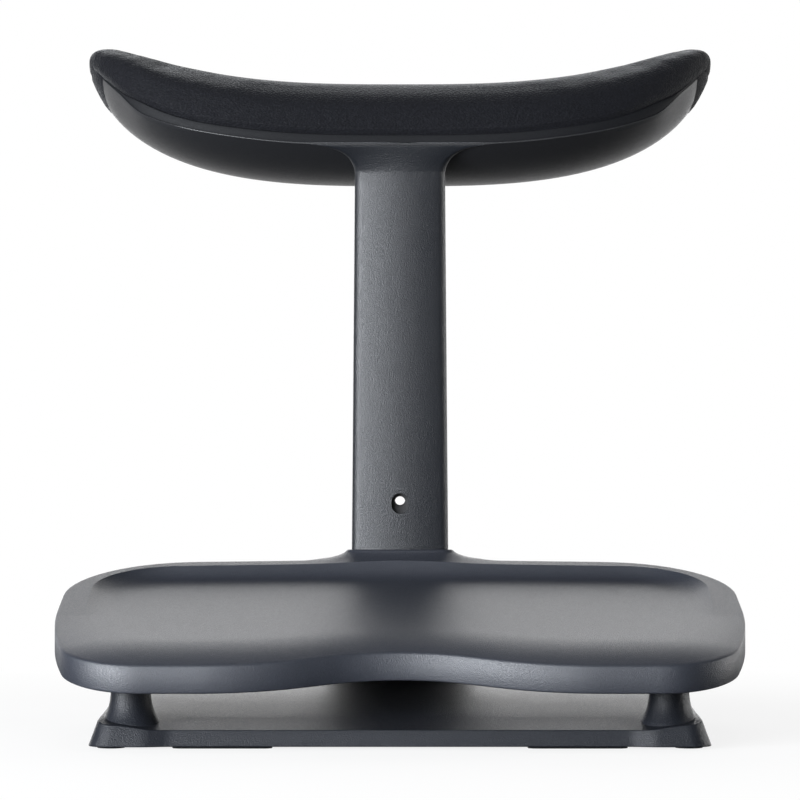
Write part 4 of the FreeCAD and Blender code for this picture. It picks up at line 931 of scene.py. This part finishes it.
# Seam: one row of short stitches in black thread, sewn through the cover a little above the groove.
# A line dropped onto the cloth from front and rear carries them, and a node group lays them along it.
thread = grained_finish("seam_thread", (0.012, 0.012, 0.016), 0.6, gloss=0.2,
                        tones=((0.003, 0.0032, 0.005), (0.008, 0.0084, 0.011)), tone_noise=(1200, 2),
                        polish=(0.5, 0.7), polish_noise=(900, 2),
                        grain_noise=(3000, 1), grain_depth=0.00008)
SEAM_HEIGHT = 4.5
SEAM_SUNK = 0.15
SEAM_FROM_END = 8
stitch_sizes = {"Pitch": 0.0042, "Stitch Length": 0.0017, "Thread Radius": 0.00032}


def sewn_line(name):
    """Closed line on the cushion's front and rear faces, at the seam's height above the band."""
    skin = BVHTree.FromPolygons([vertex.co for vertex in cushion_mesh.vertices],
                                [tuple(face.vertices) for face in cushion_mesh.polygons])
    loop = []
    for side in (-1, 1):
        for place in stations(PAD_HALF - SEAM_FROM_END, 60):
            x = -side * place
            start = Vector((x, PAD_Y + side * 2 * PAD_REACH, band_level(x) + SEAM_HEIGHT)) / 1000
            spot = skin.ray_cast(start, Vector((0, -side, 0)))[0]
            loop.append(spot + Vector((0, -side * SEAM_SUNK / 1000, 0)))
    mesh = bpy.data.meshes.new(name)
    mesh.from_pydata(loop, ring_links(len(loop), 0), [])
    line = bpy.data.objects.new(name, mesh)
    scene.collection.objects.link(line)
    return line


def stitch_group(name):
    """Node group that lays short round stitches along a line."""
    group = bpy.data.node_groups.new(name, "GeometryNodeTree")
    group.interface.new_socket("Geometry", in_out="INPUT", socket_type="NodeSocketGeometry")
    for label in stitch_sizes:
        group.interface.new_socket(label, in_out="INPUT", socket_type="NodeSocketFloat")
    group.interface.new_socket("Geometry", in_out="OUTPUT", socket_type="NodeSocketGeometry")
    start = group.nodes.new("NodeGroupInput")
    curve = group.nodes.new("GeometryNodeMeshToCurve")
    spread = group.nodes.new("GeometryNodeCurveToPoints")
    spread.mode = "LENGTH"
    stitch = group.nodes.new("GeometryNodeMeshUVSphere")
    stitch.inputs["Segments"].default_value = 8
    stitch.inputs["Rings"].default_value = 6
    size = group.nodes.new("ShaderNodeCombineXYZ")
    shaped = group.nodes.new("GeometryNodeTransform")
    placed = group.nodes.new("GeometryNodeInstanceOnPoints")
    real = group.nodes.new("GeometryNodeRealizeInstances")
    paint = group.nodes.new("GeometryNodeSetMaterial")
    paint.inputs["Material"].default_value = thread
    end = group.nodes.new("NodeGroupOutput")
    join = group.links.new
    join(start.outputs["Geometry"], curve.inputs["Mesh"])
    join(curve.outputs["Curve"], spread.inputs["Curve"])
    join(start.outputs["Pitch"], spread.inputs["Length"])
    join(start.outputs["Thread Radius"], size.inputs["X"])
    join(start.outputs["Thread Radius"], size.inputs["Y"])
    join(start.outputs["Stitch Length"], size.inputs["Z"])
    join(stitch.outputs["Mesh"], shaped.inputs["Geometry"])
    join(size.outputs["Vector"], shaped.inputs["Scale"])
    join(spread.outputs["Points"], placed.inputs["Points"])
    join(spread.outputs["Rotation"], placed.inputs["Rotation"])
    join(shaped.outputs["Geometry"], placed.inputs["Instance"])
    join(placed.outputs["Instances"], real.inputs["Geometry"])
    join(real.outputs["Geometry"], paint.inputs["Geometry"])
    join(paint.outputs["Geometry"], end.inputs["Geometry"])
    return group


seam = sewn_line("cushion_seam")
sewing = seam.modifiers.new("sewing", "NODES")
sewing.node_group = stitch_group("sewn_stitches")
for socket in sewing.node_group.interface.items_tree:
    if socket.name in stitch_sizes:
        sewing[socket.identifier] = stitch_sizes[socket.name]
stitches = finished_mesh(seam)
seam.modifiers.remove(sewing)
seam.data = stitches
stitches.shade_smooth()
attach(seam, "leg_rest")

# Wrapped ends: the two ends of the cover, pulled down over the tips of the shell.
# They are of the same cloth, bend round the shell's end and narrow to a point underneath.
END_THICKNESS = 3
end_path = [(213, 468.5, 24), (219.5, 467.5, 30), (222.8, 463, 33), (222, 456.5, 31), (219.2, 450, 27),
            (215.8, 443.5, 22), (212.4, 438, 17), (208.6, 433.5, 11), (204, 430.5, 4)]


def wrapped_end(side):
    """One end of the cover, whose path gives place across, level and half width."""
    rings = []
    for x, z, wide in end_path:
        ring = []
        for angle in full_turn(24):
            across = wide * math.sin(angle)
            bend = SHELL_HALF * (1 - (1 - (across / PAD_REACH) ** 2) ** 0.25)
            outward = x - END_THICKNESS + END_THICKNESS * math.cos(angle) - bend
            ring.append((side * outward, PAD_Y + across, z))
        rings.append(ring)
    return joined_rings(rings, closed=True)


cover_ends = new_piece("cushion_wrapped_ends", [wrapped_end(-1), wrapped_end(1)], cloth, crease=60)
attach(cover_ends, "leg_rest")

# Studio: a wide pale paper floor and a white surround, bright only from behind the object.
# Large soft lamps stand mostly at the left, and the camera is level in front, about 3 m away.


def map_range(tree, source, from_span, to_span):
    """Value that follows a source from one span to another."""
    node = tree.nodes.new("ShaderNodeMapRange")
    for label, amount in zip(("From Min", "From Max", "To Min", "To Max"), (*from_span, *to_span)):
        node.inputs[label].default_value = amount
    tree.links.new(source, node.inputs["Value"])
    return node.outputs["Result"]


def combined(tree, operation, first, second):
    """Product of two values, or the larger of them."""
    node = tree.nodes.new("ShaderNodeMath")
    node.operation = operation
    tree.links.new(first, node.inputs[0])
    tree.links.new(second, node.inputs[1])
    return node.outputs["Value"]


def mixed_surface(tree, output, share, first, second):
    """Mix two shaders by a share and put them on the surface."""
    mix = tree.nodes.new("ShaderNodeMixShader")
    tree.links.new(share, mix.inputs["Fac"])
    tree.links.new(first, mix.inputs[1])
    tree.links.new(second, mix.inputs[2])
    tree.links.new(mix.outputs["Shader"], tree.nodes[output].inputs["Surface"])


floor_mesh = bpy.data.meshes.new("studio_floor")
floor_mesh.from_pydata([(-6, -6, 0), (6, -6, 0), (6, 6, 0), (-6, 6, 0)], [], [(0, 1, 2, 3)])
floor = bpy.data.objects.new("studio_floor", floor_mesh)
scene.collection.objects.link(floor)
paper = bpy.data.materials.new("studio_paper")
paper.use_nodes = True
paper_tree = paper.node_tree
paper_shader = paper_tree.nodes["Principled BSDF"]
paper_shader.inputs["Roughness"].default_value = 0.9
glow = paper_tree.nodes.new("ShaderNodeEmission")
glow.inputs["Strength"].default_value = 1.0
paper_place = paper_tree.nodes.new("ShaderNodeTexCoord")
away = paper_tree.nodes.new("ShaderNodeVectorMath")
away.operation = "LENGTH"
paper_tree.links.new(paper_place.outputs["Object"], away.inputs[0])
paper_path = paper_tree.nodes.new("ShaderNodeLightPath")
seen = paper_path.outputs["Is Camera Ray"]
mirrored = paper_path.outputs["Is Glossy Ray"]
paper_shade = map_range(paper_tree, seen, (0, 1), (0.07, 0.9))
paper_tree.links.new(paper_shade, paper_shader.inputs["Base Color"])
seen_glow = map_range(paper_tree, away.outputs["Value"], (0.22, 0.7), (0.82, 1.0))
far_glow = map_range(paper_tree, away.outputs["Value"], (0.6, 1.6), (0, 1))
glow_share = combined(paper_tree, "MAXIMUM", combined(paper_tree, "MULTIPLY", seen_glow, seen),
                      combined(paper_tree, "MULTIPLY", far_glow, mirrored))
mixed_surface(paper_tree, "Material Output", glow_share,
              paper_shader.outputs["BSDF"], glow.outputs["Emission"])
floor_mesh.materials.append(paper)

world = bpy.data.worlds.new("studio_white")
world.use_nodes = True
scene.world = world
air_tree = world.node_tree
air = air_tree.nodes["Background"]
air.inputs["Color"].default_value = (1, 1, 1, 1)
air_place = air_tree.nodes.new("ShaderNodeTexCoord")
air_axes = air_tree.nodes.new("ShaderNodeSeparateXYZ")
air_tree.links.new(air_place.outputs["Generated"], air_axes.inputs["Vector"])
air_level = map_range(air_tree, air_axes.outputs["Y"], (0.74, 0.92), (0.04, 3.3))
air_tree.links.new(air_level, air.inputs["Strength"])
backdrop = air_tree.nodes.new("ShaderNodeBackground")
backdrop.inputs["Color"].default_value = (1, 1, 1, 1)
backdrop.inputs["Strength"].default_value = 1.0
air_path = air_tree.nodes.new("ShaderNodeLightPath")
mixed_surface(air_tree, "World Output", air_path.outputs["Is Camera Ray"],
              air.outputs["Background"], backdrop.outputs["Background"])


def soft_lamp(name, place, target, width, height, power, tint=(1, 1, 1)):
    """Large rectangular lamp aimed at a point."""
    lamp = bpy.data.lights.new(name, "AREA")
    lamp.shape = "RECTANGLE"
    lamp.size = width
    lamp.size_y = height
    lamp.energy = power
    lamp.color = tint
    holder = bpy.data.objects.new(name, lamp)
    holder.location = place
    holder.rotation_euler = (Vector(target) - Vector(place)).to_track_quat("-Z", "Y").to_euler()
    scene.collection.objects.link(holder)


DAYLIGHT = (0.92, 0.955, 1)
soft_lamp("overhead_lamp", (-0.1, -0.3, 2.0), (0, 0, 0.2), width=1.0, height=0.6, power=4)
soft_lamp("left_lamp", (-1.4, -2.1, 0.6), (0, 0, 0.2), width=2.0, height=1.2, power=115, tint=DAYLIGHT)
soft_lamp("left_strip", (-1.7, -1.25, 0.35), (0, -0.1, 0.15), width=0.5, height=0.6, power=34, tint=DAYLIGHT)
soft_lamp("right_rear_strip", (1.8, 0.5, 0.45), (0, 0.1, 0.25), width=0.4, height=0.8, power=14)

camera = bpy.data.cameras.new("photo_camera")
camera.lens = 192.86
camera.sensor_width = 36
camera_holder = bpy.data.objects.new("photo_camera", camera)
camera_holder.location = (0, -2.960, 0.2262)
camera_holder.rotation_euler = (math.pi / 2, 0, 0)
scene.collection.objects.link(camera_holder)
scene.camera = camera_holder
scene.view_settings.view_transform = "Standard"
